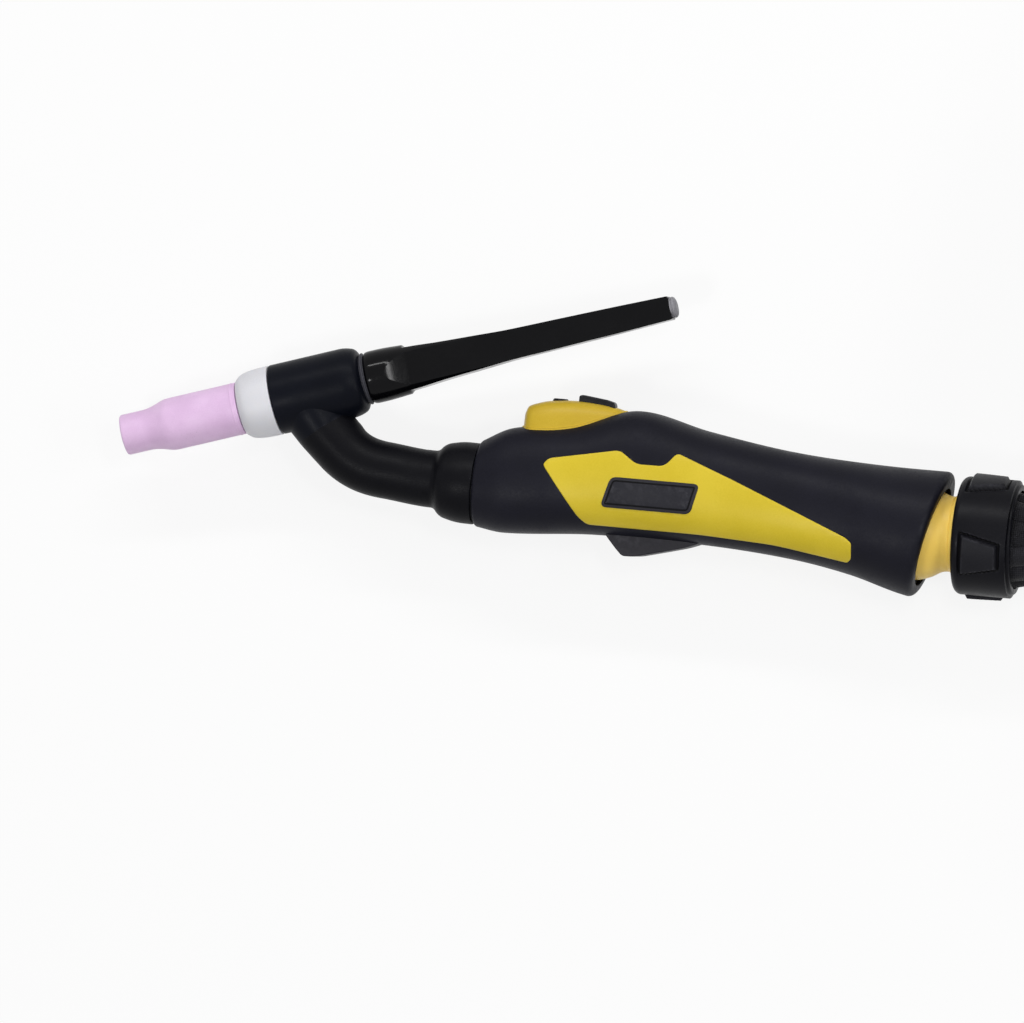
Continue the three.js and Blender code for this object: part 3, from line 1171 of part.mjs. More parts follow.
// A rectangle with round corners, [across, up].
function roundedFrame(x0, x1, y0, y1, radius) {
  const corners = [[x1, y1], [x0, y1], [x0, y0], [x1, y0]];
  return corners.flatMap(([x, y], k) => {
    const middleX = x + (x === x1 ? -radius : radius);
    const middleY = y + (y === y1 ? -radius : radius);
    return Array.from({ length: TIE_CORNER_STEPS + 1 }, (_, j) => {
      const angle = Math.PI / 2 * (k + j / TIE_CORNER_STEPS);
      return [middleX + radius * Math.cos(angle), middleY + radius * Math.sin(angle)];
    });
  });
}

// A strap round every strand that passes near one angle of the coil.
function coilTie(angle) {
  const reach = 1 / COIL_STEPS_PER_TURN;
  const first = (angle - COIL_START_ANGLE) / 360;
  const strands = [];
  for (let turn = first - reach; turn <= COIL_TURNS + reach; turn += reach / TIE_SAMPLES) {
    const offAngle = Math.abs(turn - first - Math.round(turn - first));
    if (turn >= 0 && turn <= COIL_TURNS && offAngle <= reach) {
      const point = coilAt(turn).sub(new THREE.Vector3(COIL_X, COIL_Y, FLOOR_Z));
      strands.push([point.x * Math.cos(deg(angle)) + point.y * Math.sin(deg(angle)), point.z]);
    }
  }
  const radii = strands.map(([radius]) => radius);
  const heights = strands.map(([, height]) => height);
  const inner = [Math.min(...radii) - CABLE_RADIUS - TIE_ROOM, Math.max(...radii) + CABLE_RADIUS + TIE_ROOM,
    TIE_THICKNESS, Math.max(...heights) + CABLE_RADIUS + TIE_ROOM];
  const shape = new THREE.Shape(roundedFrame(inner[0] - TIE_THICKNESS, inner[1] + TIE_THICKNESS, 0,
    inner[3] + TIE_THICKNESS, TIE_ROUNDING + TIE_THICKNESS).map(([x, y]) => new THREE.Vector2(x, y)));
  shape.holes.push(new THREE.Path(roundedFrame(...inner, TIE_ROUNDING).map(([x, y]) => new THREE.Vector2(x, y))));
  const strap = new THREE.ExtrudeGeometry(shape, { depth: TIE_WIDTH, bevelEnabled: false });
  strap.translate(0, 0, -TIE_WIDTH / 2);
  strap.rotateX(Math.PI / 2);
  strap.rotateZ(deg(angle));
  return closed(strap.translate(COIL_X, COIL_Y, FLOOR_Z));
}

const windingPath = coilPath();
console.log(`least gap between the coil's turns: ${leastGap(windingPath).toFixed(2)} mm`);
addPiece(cord, "cable_lead", cableLead(), TEXTILE);
addPiece(cord, "cable_coil", cableCoil(windingPath), TEXTILE);
addPiece(cord, "cable_tail", cableTail(), TEXTILE);
TIE_ANGLES.forEach((angle, k) => addPiece(cord, `coil_tie_${k + 1}`, coilTie(angle), CHARCOAL));

// ---- plug, in its own axes: X from the cable's end to the pins ----
const plugGroup = addGroup(cord, "plug_axis", PLUG_X, PLUG_Y, deg(PLUG_HEADING));
plugGroup.position.z = PLUG_HEIGHT + FLOOR_Z;
const BOOT_END = GAP + BOOT_LENGTH;
const PLUG_HOUSING_X = BOOT_END + GAP;
const PLUG_FACE_X = PLUG_HOUSING_X + HOUSING_LENGTH;
const BARREL_X = PLUG_FACE_X - BARREL_LENGTH;
const FLANGE_X = PLUG_FACE_X - BARREL_FLANGE_LENGTH;

function plugBoot() {
  const profile = [[GAP, 0]];
  for (let k = 0; k < BOOT_RIBS; k += 1) {
    BOOT_RIB_FORM.forEach(([t, depth]) => {
      const along = (k + t) / BOOT_RIBS;
      const radius = BOOT_RADIUS + (BOOT_END_RADIUS - BOOT_RADIUS) * along - BOOT_RIB_DEPTH * depth;
      profile.push([GAP + BOOT_LENGTH * along, radius]);
    });
  }
  profile.push([BOOT_END, BOOT_END_RADIUS], [BOOT_END, 0]);
  return turned(profile);
}

function plugHousing() {
  let housing = toSolid(turned([
    [PLUG_HOUSING_X, 0], [PLUG_HOUSING_X, HOUSING_RADIUS - HOUSING_EDGE],
    [PLUG_HOUSING_X + HOUSING_EDGE, HOUSING_RADIUS],
    [BARREL_X, HOUSING_RADIUS], [BARREL_X, BARREL_RADIUS], [FLANGE_X, BARREL_RADIUS],
    [FLANGE_X, BARREL_RADIUS + BARREL_FLANGE], [PLUG_FACE_X, BARREL_RADIUS + BARREL_FLANGE], [PLUG_FACE_X, 0],
  ]));
  const seat = cylinder(PLUG_FACE_X - PIN_SEAT_DEPTH - GAP, PLUG_FACE_X + CUT_OVER, PIN_RADIUS + GAP);
  housing = housing.subtract(toSolid(seat));
  CONTROL_PIN_ANGLES.forEach((angle) => {
    const hole = cylinder(PLUG_FACE_X - CONTROL_PIN_SEAT_DEPTH - GAP, PLUG_FACE_X + CUT_OVER,
      CONTROL_PIN_RADIUS + GAP);
    housing = housing.subtract(toSolid(hole.translate(0, 0, CONTROL_PIN_OFFSET).rotateX(deg(angle))));
  });
  return toGeometry(housing);
}

function unionNut() {
  const start = BARREL_X + GAP;
  const end = start + NUT_LENGTH;
  const lip = FLANGE_X - GAP;
  let nut = toSolid(turned([
    [start, BARREL_RADIUS + GAP], [start, NUT_RADIUS - NUT_EDGE], [start + NUT_EDGE, NUT_RADIUS],
    [end - NUT_EDGE, NUT_RADIUS], [end, NUT_RADIUS - NUT_EDGE], [end, BARREL_RADIUS + BARREL_FLANGE + GAP],
    [lip, BARREL_RADIUS + BARREL_FLANGE + GAP],
    [lip, BARREL_RADIUS + GAP],
  ], BALL_SIDES, true));
  for (let k = 0; k < NUT_FLUTES; k += 1) {
    const flute = cylinder(start - CUT_OVER, end + CUT_OVER, NUT_FLUTE_RADIUS, PIN_SIDES);
    flute.translate(0, 0, NUT_RADIUS + NUT_FLUTE_RADIUS / 2).rotateX(2 * Math.PI * k / NUT_FLUTES);
    nut = nut.subtract(toSolid(flute));
  }
  return toGeometry(nut);
}

function controlPin(angle) {
  const start = PLUG_FACE_X - CONTROL_PIN_SEAT_DEPTH;
  const pin = cylinder(start, PLUG_FACE_X + CONTROL_PIN_LENGTH, CONTROL_PIN_RADIUS, PIN_SIDES);
  return pin.translate(0, 0, CONTROL_PIN_OFFSET).rotateX(deg(angle));
}

addPiece(plugGroup, "plug_boot", plugBoot(), RUBBER);
addPiece(plugGroup, "plug_housing", plugHousing(), GRIP_BLACK);
addPiece(plugGroup, "plug_union_nut", unionNut(), CHARCOAL);
addPiece(plugGroup, "plug_power_pin",
  tube(PLUG_FACE_X - PIN_SEAT_DEPTH, PLUG_FACE_X + PIN_LENGTH, PIN_RADIUS, PIN_BORE_RADIUS), BRASS);
CONTROL_PIN_ANGLES.forEach((angle, k) => {
  addPiece(plugGroup, `plug_control_pin_${k + 1}`, controlPin(angle), BRASS);
});

export default part;
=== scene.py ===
import math

import bmesh
import bpy
from mathutils import Matrix, Vector


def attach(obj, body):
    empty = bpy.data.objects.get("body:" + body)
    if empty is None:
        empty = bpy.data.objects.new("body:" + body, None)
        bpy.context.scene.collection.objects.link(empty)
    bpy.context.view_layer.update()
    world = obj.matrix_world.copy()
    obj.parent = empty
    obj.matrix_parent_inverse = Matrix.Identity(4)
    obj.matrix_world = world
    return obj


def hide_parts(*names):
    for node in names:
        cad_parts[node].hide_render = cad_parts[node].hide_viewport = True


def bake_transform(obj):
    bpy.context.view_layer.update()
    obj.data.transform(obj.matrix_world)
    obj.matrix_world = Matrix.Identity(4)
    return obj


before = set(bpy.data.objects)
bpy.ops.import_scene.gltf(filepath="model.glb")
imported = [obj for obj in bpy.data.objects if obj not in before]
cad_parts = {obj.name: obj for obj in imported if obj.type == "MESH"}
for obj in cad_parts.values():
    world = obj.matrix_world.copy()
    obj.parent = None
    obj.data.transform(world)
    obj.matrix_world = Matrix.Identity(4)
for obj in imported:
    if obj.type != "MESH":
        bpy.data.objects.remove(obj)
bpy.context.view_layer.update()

# The torch is drawn in millimetres about its handle's axis, with X = 0 at the handle's front, Y to the
# button side and Z to the viewer, and every mesh is moved to the frame's own metres as it is made.
MM = 0.001
TORCH_PLACE = Matrix.Translation((-49.846, -25.763, 24.751))
TO_FRAME = Matrix.Scale(MM, 4) @ TORCH_PLACE
IDENTITY = Matrix.Identity(4)


# ---- curves, outlines and rings ----

def smooth(value, low=0.0, high=1.0):
    t = min(max((value - low) / (high - low), 0.0), 1.0)
    return t * t * (3 - 2 * t)


def curve_through(stations):
    """A curve y(x) through [x, y] stations, with the slope at each from its neighbours."""
    last = len(stations) - 1
    slopes = []
    for k in range(len(stations)):
        before = stations[max(k - 1, 0)]
        after = stations[min(k + 1, last)]
        slopes.append((after[1] - before[1]) / (after[0] - before[0]))

    def value(x):
        k = 0
        while k < last - 1 and stations[k + 1][0] <= x:
            k += 1
        x0, y0 = stations[k]
        x1, y1 = stations[k + 1]
        span = x1 - x0
        t = min(max((x - x0) / span, 0.0), 1.0)
        near = y0 * (1 + 2 * t) * (1 - t) ** 2 + slopes[k] * span * t * (1 - t) ** 2
        far = y1 * t * t * (3 - 2 * t) - slopes[k + 1] * span * t * t * (1 - t)
        return near + far

    return value


def rounded(corners, looped=False, steps=5):
    """A line through (x, y, rounding) corners, each rounded over that distance on both sides."""
    line = []
    count = len(corners)
    for k, (x, y, size) in enumerate(corners):
        here = Vector((x, y))
        if size == 0 or (not looped and k in (0, count - 1)):
            line.append((x, y))
            continue
        before = Vector(corners[k - 1][:2]) - here
        after = Vector(corners[(k + 1) % count][:2]) - here
        reach = min(size, before.length / 2, after.length / 2)
        start = here + before.normalized() * reach
        end = here + after.normalized() * reach
        for i in range(steps + 1):
            t = i / steps
            point = start * (1 - t) ** 2 + here * 2 * t * (1 - t) + end * t * t
            line.append((point.x, point.y))
    return line


def drawn_in(outline, distance):
    """A closed [x, y] outline with every edge moved inwards by a distance."""
    count = len(outline)
    area = sum(outline[k][0] * outline[(k + 1) % count][1] - outline[(k + 1) % count][0] * outline[k][1]
               for k in range(count))
    inward = math.copysign(distance, area)
    moved = []
    for k in range(count):
        here = Vector(outline[k])
        before = (here - Vector(outline[k - 1])).normalized()
        after = (Vector(outline[(k + 1) % count]) - here).normalized()
        normal = Vector((-before.y - after.y, before.x + after.x))
        moved.append(tuple(here + normal * inward / max(1 + before.dot(after), 0.5)))
    return moved


def evenly(outline, step):
    """Adds points to a closed outline so that no edge is longer than a step."""
    points = []
    for k, here in enumerate(outline):
        start, end = Vector(here), Vector(outline[(k + 1) % len(outline)])
        parts = max(1, math.ceil((end - start).length / step))
        points += [tuple(start.lerp(end, i / parts)) for i in range(parts)]
    return points


def span(start, end, count):
    return [start + (end - start) * i / (count - 1) for i in range(count)]


# ---- meshes ----

SMOOTH_ANGLE = 32
DOUBLES = 1e-6
BEVEL_STEPS = 4
TUBE_SIDES = 24
TUBE_CREASE = 60
WEAVE_MAP = "weave"


def placed(name, data):
    """A new object of its data, in the scene."""
    thing = bpy.data.objects.new(name, data)
    bpy.context.scene.collection.objects.link(thing)
    return thing


def piece(name, points, faces, place=IDENTITY, crease=SMOOTH_ANGLE):
    """A mesh object from points in millimetres, with doubles merged and faces outwards."""
    mesh = bpy.data.meshes.new(name)
    mesh.from_pydata([TO_FRAME @ place @ Vector(point) for point in points], [], faces)
    solid = bmesh.new()
    solid.from_mesh(mesh)
    bmesh.ops.remove_doubles(solid, verts=solid.verts, dist=DOUBLES)
    bmesh.ops.dissolve_degenerate(solid, edges=solid.edges, dist=DOUBLES)
    bmesh.ops.recalc_face_normals(solid, faces=solid.faces)
    solid.to_mesh(mesh)
    solid.free()
    thing = placed(name, mesh)
    shaded(thing, crease)
    return thing


def shaded(thing, crease):
    """Smooth shading, with edges sharper than a crease in degrees left crisp."""
    thing.data.shade_smooth()
    thing.data.set_sharp_from_angle(angle=math.radians(crease))


def skin(rings, joined=False):
    """Points and faces that join rings of equal count: capped at both ends, or bent round on themselves."""
    count = len(rings[0])
    points = [point for ring in rings for point in ring]
    faces = []
    for i in range(len(rings) if joined else len(rings) - 1):
        following = (i + 1) % len(rings)
        for j in range(count):
            side = (j + 1) % count
            faces.append((i * count + j, i * count + side, following * count + side, following * count + j))
    if not joined:
        faces.append(tuple(reversed(range(count))))
        faces.append(tuple(range((len(rings) - 1) * count, len(rings) * count)))
    return points, faces


def circle(x, radius, sides):
    """A ring of points about the X axis."""
    return [(x, radius * math.cos(math.tau * j / sides), radius * math.sin(math.tau * j / sides))
            for j in range(sides)]


def turned(name, profile, place, sides=96, bored=False, crease=SMOOTH_ANGLE):
    """A body turned about the place's X axis from (x, radius) points; a bored one closes on itself."""
    rings = [circle(x, max(radius, 0.0), sides) for x, radius in profile]
    return piece(name, *skin(rings, joined=bored), place, crease)


def rod(low, high, radius, place, sides):
    """A plain round tool for bores and holes."""
    return turned("rod", [(low, 0), (low, radius), (high, radius), (high, 0)], place, sides)


def settled(thing, crease):
    """Turns an object with modifiers into its plain mesh."""
    result = thing.evaluated_get(bpy.context.evaluated_depsgraph_get())
    mesh = bpy.data.meshes.new_from_object(result)
    thing.modifiers.clear()
    thing.data = mesh
    shaded(thing, crease)


def combined(thing, tool, operation, crease=SMOOTH_ANGLE):
    """Joins a tool to a body, cuts it out or keeps what they share, and removes the tool."""
    join = thing.modifiers.new("join", "BOOLEAN")
    join.operation = operation
    join.solver = "MANIFOLD"
    join.object = tool
    settled(thing, crease)
    bpy.data.objects.remove(tool)


def cut(thing, *tools, crease=SMOOTH_ANGLE):
    for tool in tools:
        combined(thing, tool, "DIFFERENCE", crease)


def bevelled(thing, width, angle=35, crease=SMOOTH_ANGLE):
    """Rounds the edges that are sharper than an angle in degrees."""
    edge = thing.modifiers.new("edge", "BEVEL")
    edge.width = width * MM
    edge.segments = BEVEL_STEPS
    edge.limit_method = "ANGLE"
    edge.angle_limit = math.radians(angle)
    settled(thing, crease)


def block(low, high, place=IDENTITY):
    corners = [(x, y, z) for x in (low[0], high[0]) for y in (low[1], high[1]) for z in (low[2], high[2])]
    faces = [(0, 1, 3, 2), (4, 6, 7, 5), (0, 4, 5, 1), (2, 3, 7, 6), (0, 2, 6, 4), (1, 5, 7, 3)]
    return piece("block", corners, faces, place)


def prism(name, outline, half):
    """A straight-sided body from an [x, y] outline, as far to -Z as to Z."""
    rings = [[(x, y, z) for x, y in outline] for z in (-half, half)]
    return piece(name, *skin(rings))


def heading_place(x, y, degrees, z=0.0):
    """A place whose X axis is turned in the torch's plane."""
    return Matrix.Translation((x, y, z)) @ Matrix.Rotation(math.radians(degrees), 4, "Z")


def tube_along(name, path, radius, woven=False):
    """A round tube along points in the torch's millimetres; a woven one is mapped for its weave."""
    centres = [Vector(point) for point in path]
    ahead = [(centres[min(k + 1, len(centres) - 1)] - centres[max(k - 1, 0)]).normalized()
             for k in range(len(centres))]
    side = ahead[0].cross(Vector((0, 0, 1))).normalized()
    rings = []
    lengths = [0.0]
    for k, (centre, direction) in enumerate(zip(centres, ahead)):
        side = (side - direction * side.dot(direction)).normalized()
        up = direction.cross(side)
        rings.append([tuple(centre + side * radius * math.cos(math.tau * j / TUBE_SIDES)
                            + up * radius * math.sin(math.tau * j / TUBE_SIDES)) for j in range(TUBE_SIDES)])
        if k:
            lengths.append(lengths[-1] + (centre - centres[k - 1]).length)
    thing = piece(name, *skin(rings), crease=TUBE_CREASE)
    if woven:
        mapped(thing, TUBE_SIDES, lengths)
    return thing


def mapped(thing, sides, lengths):
    """Writes a (share of the way round, distance along in metres) map on a skin of rings."""
    uv = thing.data.uv_layers.new(name=WEAVE_MAP)
    for face in thing.data.polygons:
        places = [divmod(vertex, sides) for vertex in face.vertices]
        wraps = max(j for _, j in places) - min(j for _, j in places) > sides / 2
        for loop, (ring, j) in zip(face.loop_indices, places):
            turn = (sides if wraps and j == 0 else j) / sides
            uv.data[loop].uv = (turn, lengths[min(ring, len(lengths) - 1)] * MM)


# ---- camera at the photograph's angle ----

VIEW_YAW = math.radians(10)
VIEW_ROLL = math.radians(5)
VIEW_DISTANCE = 13.386
VIEW_TARGET = Vector((-0.035438, -0.034949, 0.024751))
LENS_MM = 1200
SENSOR_MM = 36
CLIP_END = 50


def make_camera():
    back = Vector((math.sin(VIEW_YAW), 0, math.cos(VIEW_YAW)))
    level = Vector((math.cos(VIEW_YAW), 0, -math.sin(VIEW_YAW)))
    upright = Vector((0, 1, 0))
    right = level * math.cos(VIEW_ROLL) + upright * math.sin(VIEW_ROLL)
    up = upright * math.cos(VIEW_ROLL) - level * math.sin(VIEW_ROLL)
    lens = bpy.data.cameras.new("camera")
    lens.lens = LENS_MM
    lens.sensor_width = SENSOR_MM
    lens.clip_end = CLIP_END
    camera = placed("camera", lens)
    turn = Matrix((right, up, back)).transposed().to_4x4()
    camera.matrix_world = Matrix.Translation(VIEW_TARGET + back * VIEW_DISTANCE) @ turn
    bpy.context.scene.camera = camera


make_camera()


# ---- shared surface effects ----

FLOAT = "NodeSocketFloat"
PLACE = ("Place", "NodeSocketVector", (0, 0, 0))


def new_group(name, inputs, outputs):
    """A shader group; each input is a (name, kind, value), each output the name of a float."""
    group = bpy.data.node_groups.new(name, "ShaderNodeTree")
    for label, kind, value in inputs:
        group.interface.new_socket(label, in_out="INPUT", socket_type=kind).default_value = value
    for label in outputs:
        group.interface.new_socket(label, in_out="OUTPUT", socket_type=FLOAT)
    return group, group.nodes.new("NodeGroupInput").outputs, group.nodes.new("NodeGroupOutput").inputs


def node(tree, kind, settings=None, **inputs):
    """A node with its settings and inputs: sockets are linked, values are set, i0 and i1 go by number."""
    made = tree.nodes.new(kind)
    for label, value in (settings or {}).items():
        setattr(made, label, value)
    for label, value in inputs.items():
        by_index = label[0] == "i" and label[1:].isdigit()
        socket = made.inputs[int(label[1:]) if by_index else label]
        if isinstance(value, bpy.types.NodeSocket):
            tree.links.new(value, socket)
        else:
            socket.default_value = value
    return made


def out(tree, kind, settings=None, **inputs):
    """The first output of a node."""
    return node(tree, kind, settings, **inputs).outputs[0]


def maths(tree, operation, *values):
    inputs = {f"i{k}": value for k, value in enumerate(values)}
    return out(tree, "ShaderNodeMath", {"operation": operation}, **inputs)


def ramped(tree, value, low, high, to_low=0.0, to_high=1.0):
    """A value eased from one range to another."""
    return out(tree, "ShaderNodeMapRange", {"interpolation_type": "SMOOTHSTEP"},
               i0=value, i1=low, i2=high, i3=to_low, i4=to_high)


def noise(tree, place, scale, detail, rough=0.55):
    return out(tree, "ShaderNodeTexNoise", Vector=place, Scale=scale, Detail=detail, Roughness=rough)


def grain_group():
    """Fine moulded grain: a height for the bump and a shade that varies with it."""
    group, given, result = new_group("moulded_grain", [
        PLACE, ("Pitch", FLOAT, 1800.0), ("Broad", FLOAT, 40.0)], ["Height", "Shade"])
    cells = out(group, "ShaderNodeTexVoronoi", {"feature": "SMOOTH_F1"},
                Vector=given["Place"], Scale=given["Pitch"], Smoothness=0.6)
    fine = noise(group, given["Place"], given["Pitch"], 2.0)
    height = maths(group, "MULTIPLY_ADD", cells, 0.6, maths(group, "MULTIPLY", fine, 0.4))
    broad = noise(group, given["Place"], given["Broad"], 4.0)
    shade = maths(group, "MULTIPLY_ADD", fine, 0.35, maths(group, "MULTIPLY", broad, 0.65))
    group.links.new(height, result["Height"])
    group.links.new(shade, result["Shade"])
    return group


def wear_group():
    """Wear along raised edges: a mask broken up by noise."""
    group, given, result = new_group("edge_wear", [PLACE, ("Reach", FLOAT, 0.56), ("Scale", FLOAT, 350.0)],
                                     ["Worn"])
    sharpness = node(group, "ShaderNodeNewGeometry").outputs["Pointiness"]
    edge = ramped(group, sharpness, 0.5, given["Reach"])
    patches = ramped(group, noise(group, given["Place"], given["Scale"], 5.0), 0.42, 0.62)
    group.links.new(maths(group, "MULTIPLY", edge, patches), result["Worn"])
    return group


def handling_group():
    """Smudges and settled dust: a soft mask at the size of fingertips, with fine specks in it."""
    group, given, result = new_group("handling", [PLACE, ("Scale", FLOAT, 60.0)], ["Smudge", "Specks"])
    patches = ramped(group, noise(group, given["Place"], given["Scale"], 5.0, 0.65), 0.42, 0.68)
    dots = out(group, "ShaderNodeTexVoronoi", {"feature": "F1"}, Vector=given["Place"],
               Scale=maths(group, "MULTIPLY", given["Scale"], 12.0))
    specks = ramped(group, dots, 0.16, 0.07)
    group.links.new(patches, result["Smudge"])
    group.links.new(maths(group, "MULTIPLY", specks, patches), result["Specks"])
    return group


def weave_group():
    """Plain weave on a (round, along) map: thread height and the mask of its raised threads."""
    group, given, result = new_group("plain_weave", [
        ("Map", "NodeSocketVector", (0, 0, 0)), ("Round", FLOAT, 90.0), ("Along", FLOAT, 1400.0)],
        ["Height", "Thread"])
    parts = node(group, "ShaderNodeSeparateXYZ", Vector=given["Map"]).outputs
    along = maths(group, "MULTIPLY", parts[1], given["Along"])
    across = maths(group, "MULTIPLY", parts[0], given["Round"])
    warp = maths(group, "SINE", maths(group, "MULTIPLY", across, math.pi))
    weft = maths(group, "SINE", maths(group, "MULTIPLY", along, math.pi))
    over = ramped(group, maths(group, "MULTIPLY", warp, weft), -0.25, 0.25)
    first = maths(group, "MULTIPLY", maths(group, "ABSOLUTE", warp), over)
    second = maths(group, "MULTIPLY", maths(group, "ABSOLUTE", weft), maths(group, "SUBTRACT", 1.0, over))
    height = maths(group, "ADD", first, second)
    group.links.new(height, result["Height"])
    group.links.new(ramped(group, height, 0.45, 0.95), result["Thread"])
    return group


GRAIN = grain_group()
WEAR = wear_group()
HANDLING = handling_group()
WEAVE = weave_group()


# ---- finishes ----

def linear(colour):
    """A colour seen as sRGB 0 to 255, as the shader's own linear colour."""
    values = []
    for value in colour:
        share = value / 255
        values.append(share / 12.92 if share <= 0.04045 else ((share + 0.055) / 1.055) ** 2.4)
    return (*values, 1.0)


def emptied(data):
    """The tree of a new material or world, without its first nodes."""
    data.use_nodes = True
    data.node_tree.nodes.clear()
    return data.node_tree


def shown(tree, shader, kind="ShaderNodeOutputMaterial"):
    tree.links.new(shader.outputs[0], tree.nodes.new(kind).inputs["Surface"])


def new_finish(name):
    material = bpy.data.materials.new(name)
    tree = emptied(material)
    shader = tree.nodes.new("ShaderNodeBsdfPrincipled")
    shown(tree, shader)
    return material, tree, shader, tree.nodes.new("ShaderNodeTexCoord").outputs["Object"]


def group_node(tree, group, **inputs):
    return node(tree, "ShaderNodeGroup", {"node_tree": group}, **inputs).outputs


def mixed(tree, factor, first, second):
    return node(tree, "ShaderNodeMix", {"data_type": "RGBA"}, Factor=factor, i6=first, i7=second).outputs[2]


def coloured(tree, shader, tones, shade, light, *layers):
    """A base between two tones, with layers of (mask, share, colour) over it."""
    base = mixed(tree, tones, linear(shade), linear(light))
    for mask, share, colour in layers:
        base = mixed(tree, maths(tree, "MULTIPLY", mask, share), base, linear(colour))
    tree.links.new(base, shader.inputs["Base Color"])


def set_values(shader, values):
    for label, value in values.items():
        shader.inputs[label].default_value = value


def bumped(tree, shader, height, distance):
    bump = out(tree, "ShaderNodeBump", Strength=1.0, Distance=distance, Height=height)
    tree.links.new(bump, shader.inputs["Normal"])


def moulded(name, shade, light, worn, roughness, pitch, depth, reach=0.56, smudges=0.08,
            coat=0.0, specular=0.12, scattering=0.0):
    """Moulded plastic or rubber: two tones, fine grain, worn edges and handled patches."""
    material, tree, shader, place = new_finish(name)
    grain = group_node(tree, GRAIN, Place=place, Pitch=pitch)
    wear = group_node(tree, WEAR, Place=place, Reach=reach)
    touched = group_node(tree, HANDLING, Place=place)
    coloured(tree, shader, ramped(tree, grain["Shade"], 0.35, 0.65), shade, light,
             (wear["Worn"], 0.4, worn), (touched["Specks"], 0.2, worn))
    rough = ramped(tree, grain["Height"], 0.2, 0.8, roughness - 0.05, roughness + 0.06)
    rough = maths(tree, "MULTIPLY_ADD", touched["Smudge"], smudges, rough)
    rough = maths(tree, "MULTIPLY_ADD", wear["Worn"], -0.1, rough)
    tree.links.new(rough, shader.inputs["Roughness"])
    set_values(shader, {"Specular IOR Level": specular, "Coat Weight": coat, "Coat Roughness": 0.12,
                        "Subsurface Weight": scattering, "Subsurface Radius": (0.004, 0.003, 0.002),
                        "Subsurface Scale": 0.3})
    bumped(tree, shader, grain["Height"], depth)
    return material


def machined(name, shade, light, tarnish, roughness):
    """Metal with fine tool lines, tarnished patches and polished edges."""
    material, tree, shader, place = new_finish(name)
    drawn_out = out(tree, "ShaderNodeMapping", Vector=place, Scale=(900.0, 40.0, 900.0))
    lines = noise(tree, drawn_out, 6.0, 6.0, 0.7)
    touched = group_node(tree, HANDLING, Place=place, Scale=110.0)
    wear = group_node(tree, WEAR, Place=place, Reach=0.58, Scale=700.0)
    grain = group_node(tree, GRAIN, Place=place, Pitch=2600.0, Broad=160.0)
    coloured(tree, shader, ramped(tree, lines, 0.3, 0.7), shade, light,
             (touched["Smudge"], 0.55, tarnish), (wear["Worn"], 1.0, light))
    rough = ramped(tree, lines, 0.25, 0.75, roughness - 0.06, roughness + 0.12)
    tree.links.new(maths(tree, "MULTIPLY_ADD", touched["Smudge"], 0.15, rough), shader.inputs["Roughness"])
    set_values(shader, {"Metallic": 1.0})
    height = maths(tree, "MULTIPLY_ADD", lines, 0.8, maths(tree, "MULTIPLY", grain["Height"], 0.2))
    bumped(tree, shader, height, 0.00002)
    return material


def fired_alumina():
    """Pale pink fired ceramic: chalky grain, faint mottling and a few firing specks."""
    material, tree, shader, place = new_finish("fired_alumina")
    grain = group_node(tree, GRAIN, Place=place, Pitch=2600.0, Broad=90.0)
    touched = group_node(tree, HANDLING, Place=place, Scale=45.0)
    wear = group_node(tree, WEAR, Place=place, Reach=0.6, Scale=260.0)
    coloured(tree, shader, ramped(tree, grain["Shade"], 0.35, 0.65), (214, 180, 216), (224, 192, 226),
             (touched["Specks"], 0.35, (168, 138, 170)), (wear["Worn"], 0.4, (228, 208, 230)))
    rough = ramped(tree, grain["Height"], 0.2, 0.8, 0.52, 0.68)
    tree.links.new(maths(tree, "MULTIPLY_ADD", touched["Smudge"], -0.1, rough), shader.inputs["Roughness"])
    set_values(shader, {"Subsurface Weight": 0.12, "Subsurface Radius": (0.002, 0.0015, 0.002),
                        "Subsurface Scale": 0.5})
    bumped(tree, shader, grain["Height"], 0.00003)
    return material


def woven_textile(name, dark, light, round_count):
    """Woven cover: raised threads with a painted highlight on their fibres, fluff and dusty patches."""
    material, tree, shader, place = new_finish(name)
    surface = out(tree, "ShaderNodeUVMap", {"uv_map": WEAVE_MAP})
    weave = group_node(tree, WEAVE, Map=surface, Round=round_count, Along=1300.0)
    touched = group_node(tree, HANDLING, Place=place, Scale=70.0)
    fibres = noise(tree, out(tree, "ShaderNodeMapping", Vector=place, Scale=(1.0, 6.0, 1.0)), 2400.0, 3.0)
    # Painted highlight: the fibres of the raised threads take the light tone, which stands in for light
    # catching the weave.
    painted_thread_highlight = maths(tree, "MULTIPLY", weave["Thread"], ramped(tree, fibres, 0.4, 0.7))
    # The light tone is both the painted thread highlight and the colour of the dusty patches.
    coloured(tree, shader, painted_thread_highlight, dark, light, (touched["Smudge"], 0.25, light))
    tree.links.new(ramped(tree, weave["Height"], 0.2, 1.0, 0.95, 0.7), shader.inputs["Roughness"])
    set_values(shader, {"Sheen Weight": 0.12, "Specular IOR Level": 0.15, "Sheen Roughness": 0.4})
    bumped(tree, shader, maths(tree, "MULTIPLY_ADD", fibres, 0.25, weave["Height"]), 0.00012)
    return material


def circuit_board():
    """Green board: copper tracks under the mask and a pale screen of dots."""
    material, tree, shader, place = new_finish("circuit_board")
    tracks = node(tree, "ShaderNodeTexBrick", Vector=place, Scale=180.0).outputs["Fac"]
    touched = group_node(tree, HANDLING, Place=place, Scale=90.0)
    coloured(tree, shader, tracks, (34, 86, 56), (72, 128, 84), (touched["Specks"], 0.6, (196, 186, 150)))
    tree.links.new(ramped(tree, touched["Smudge"], 0.0, 1.0, 0.3, 0.5), shader.inputs["Roughness"])
    bumped(tree, shader, tracks, 0.00004)
    return material


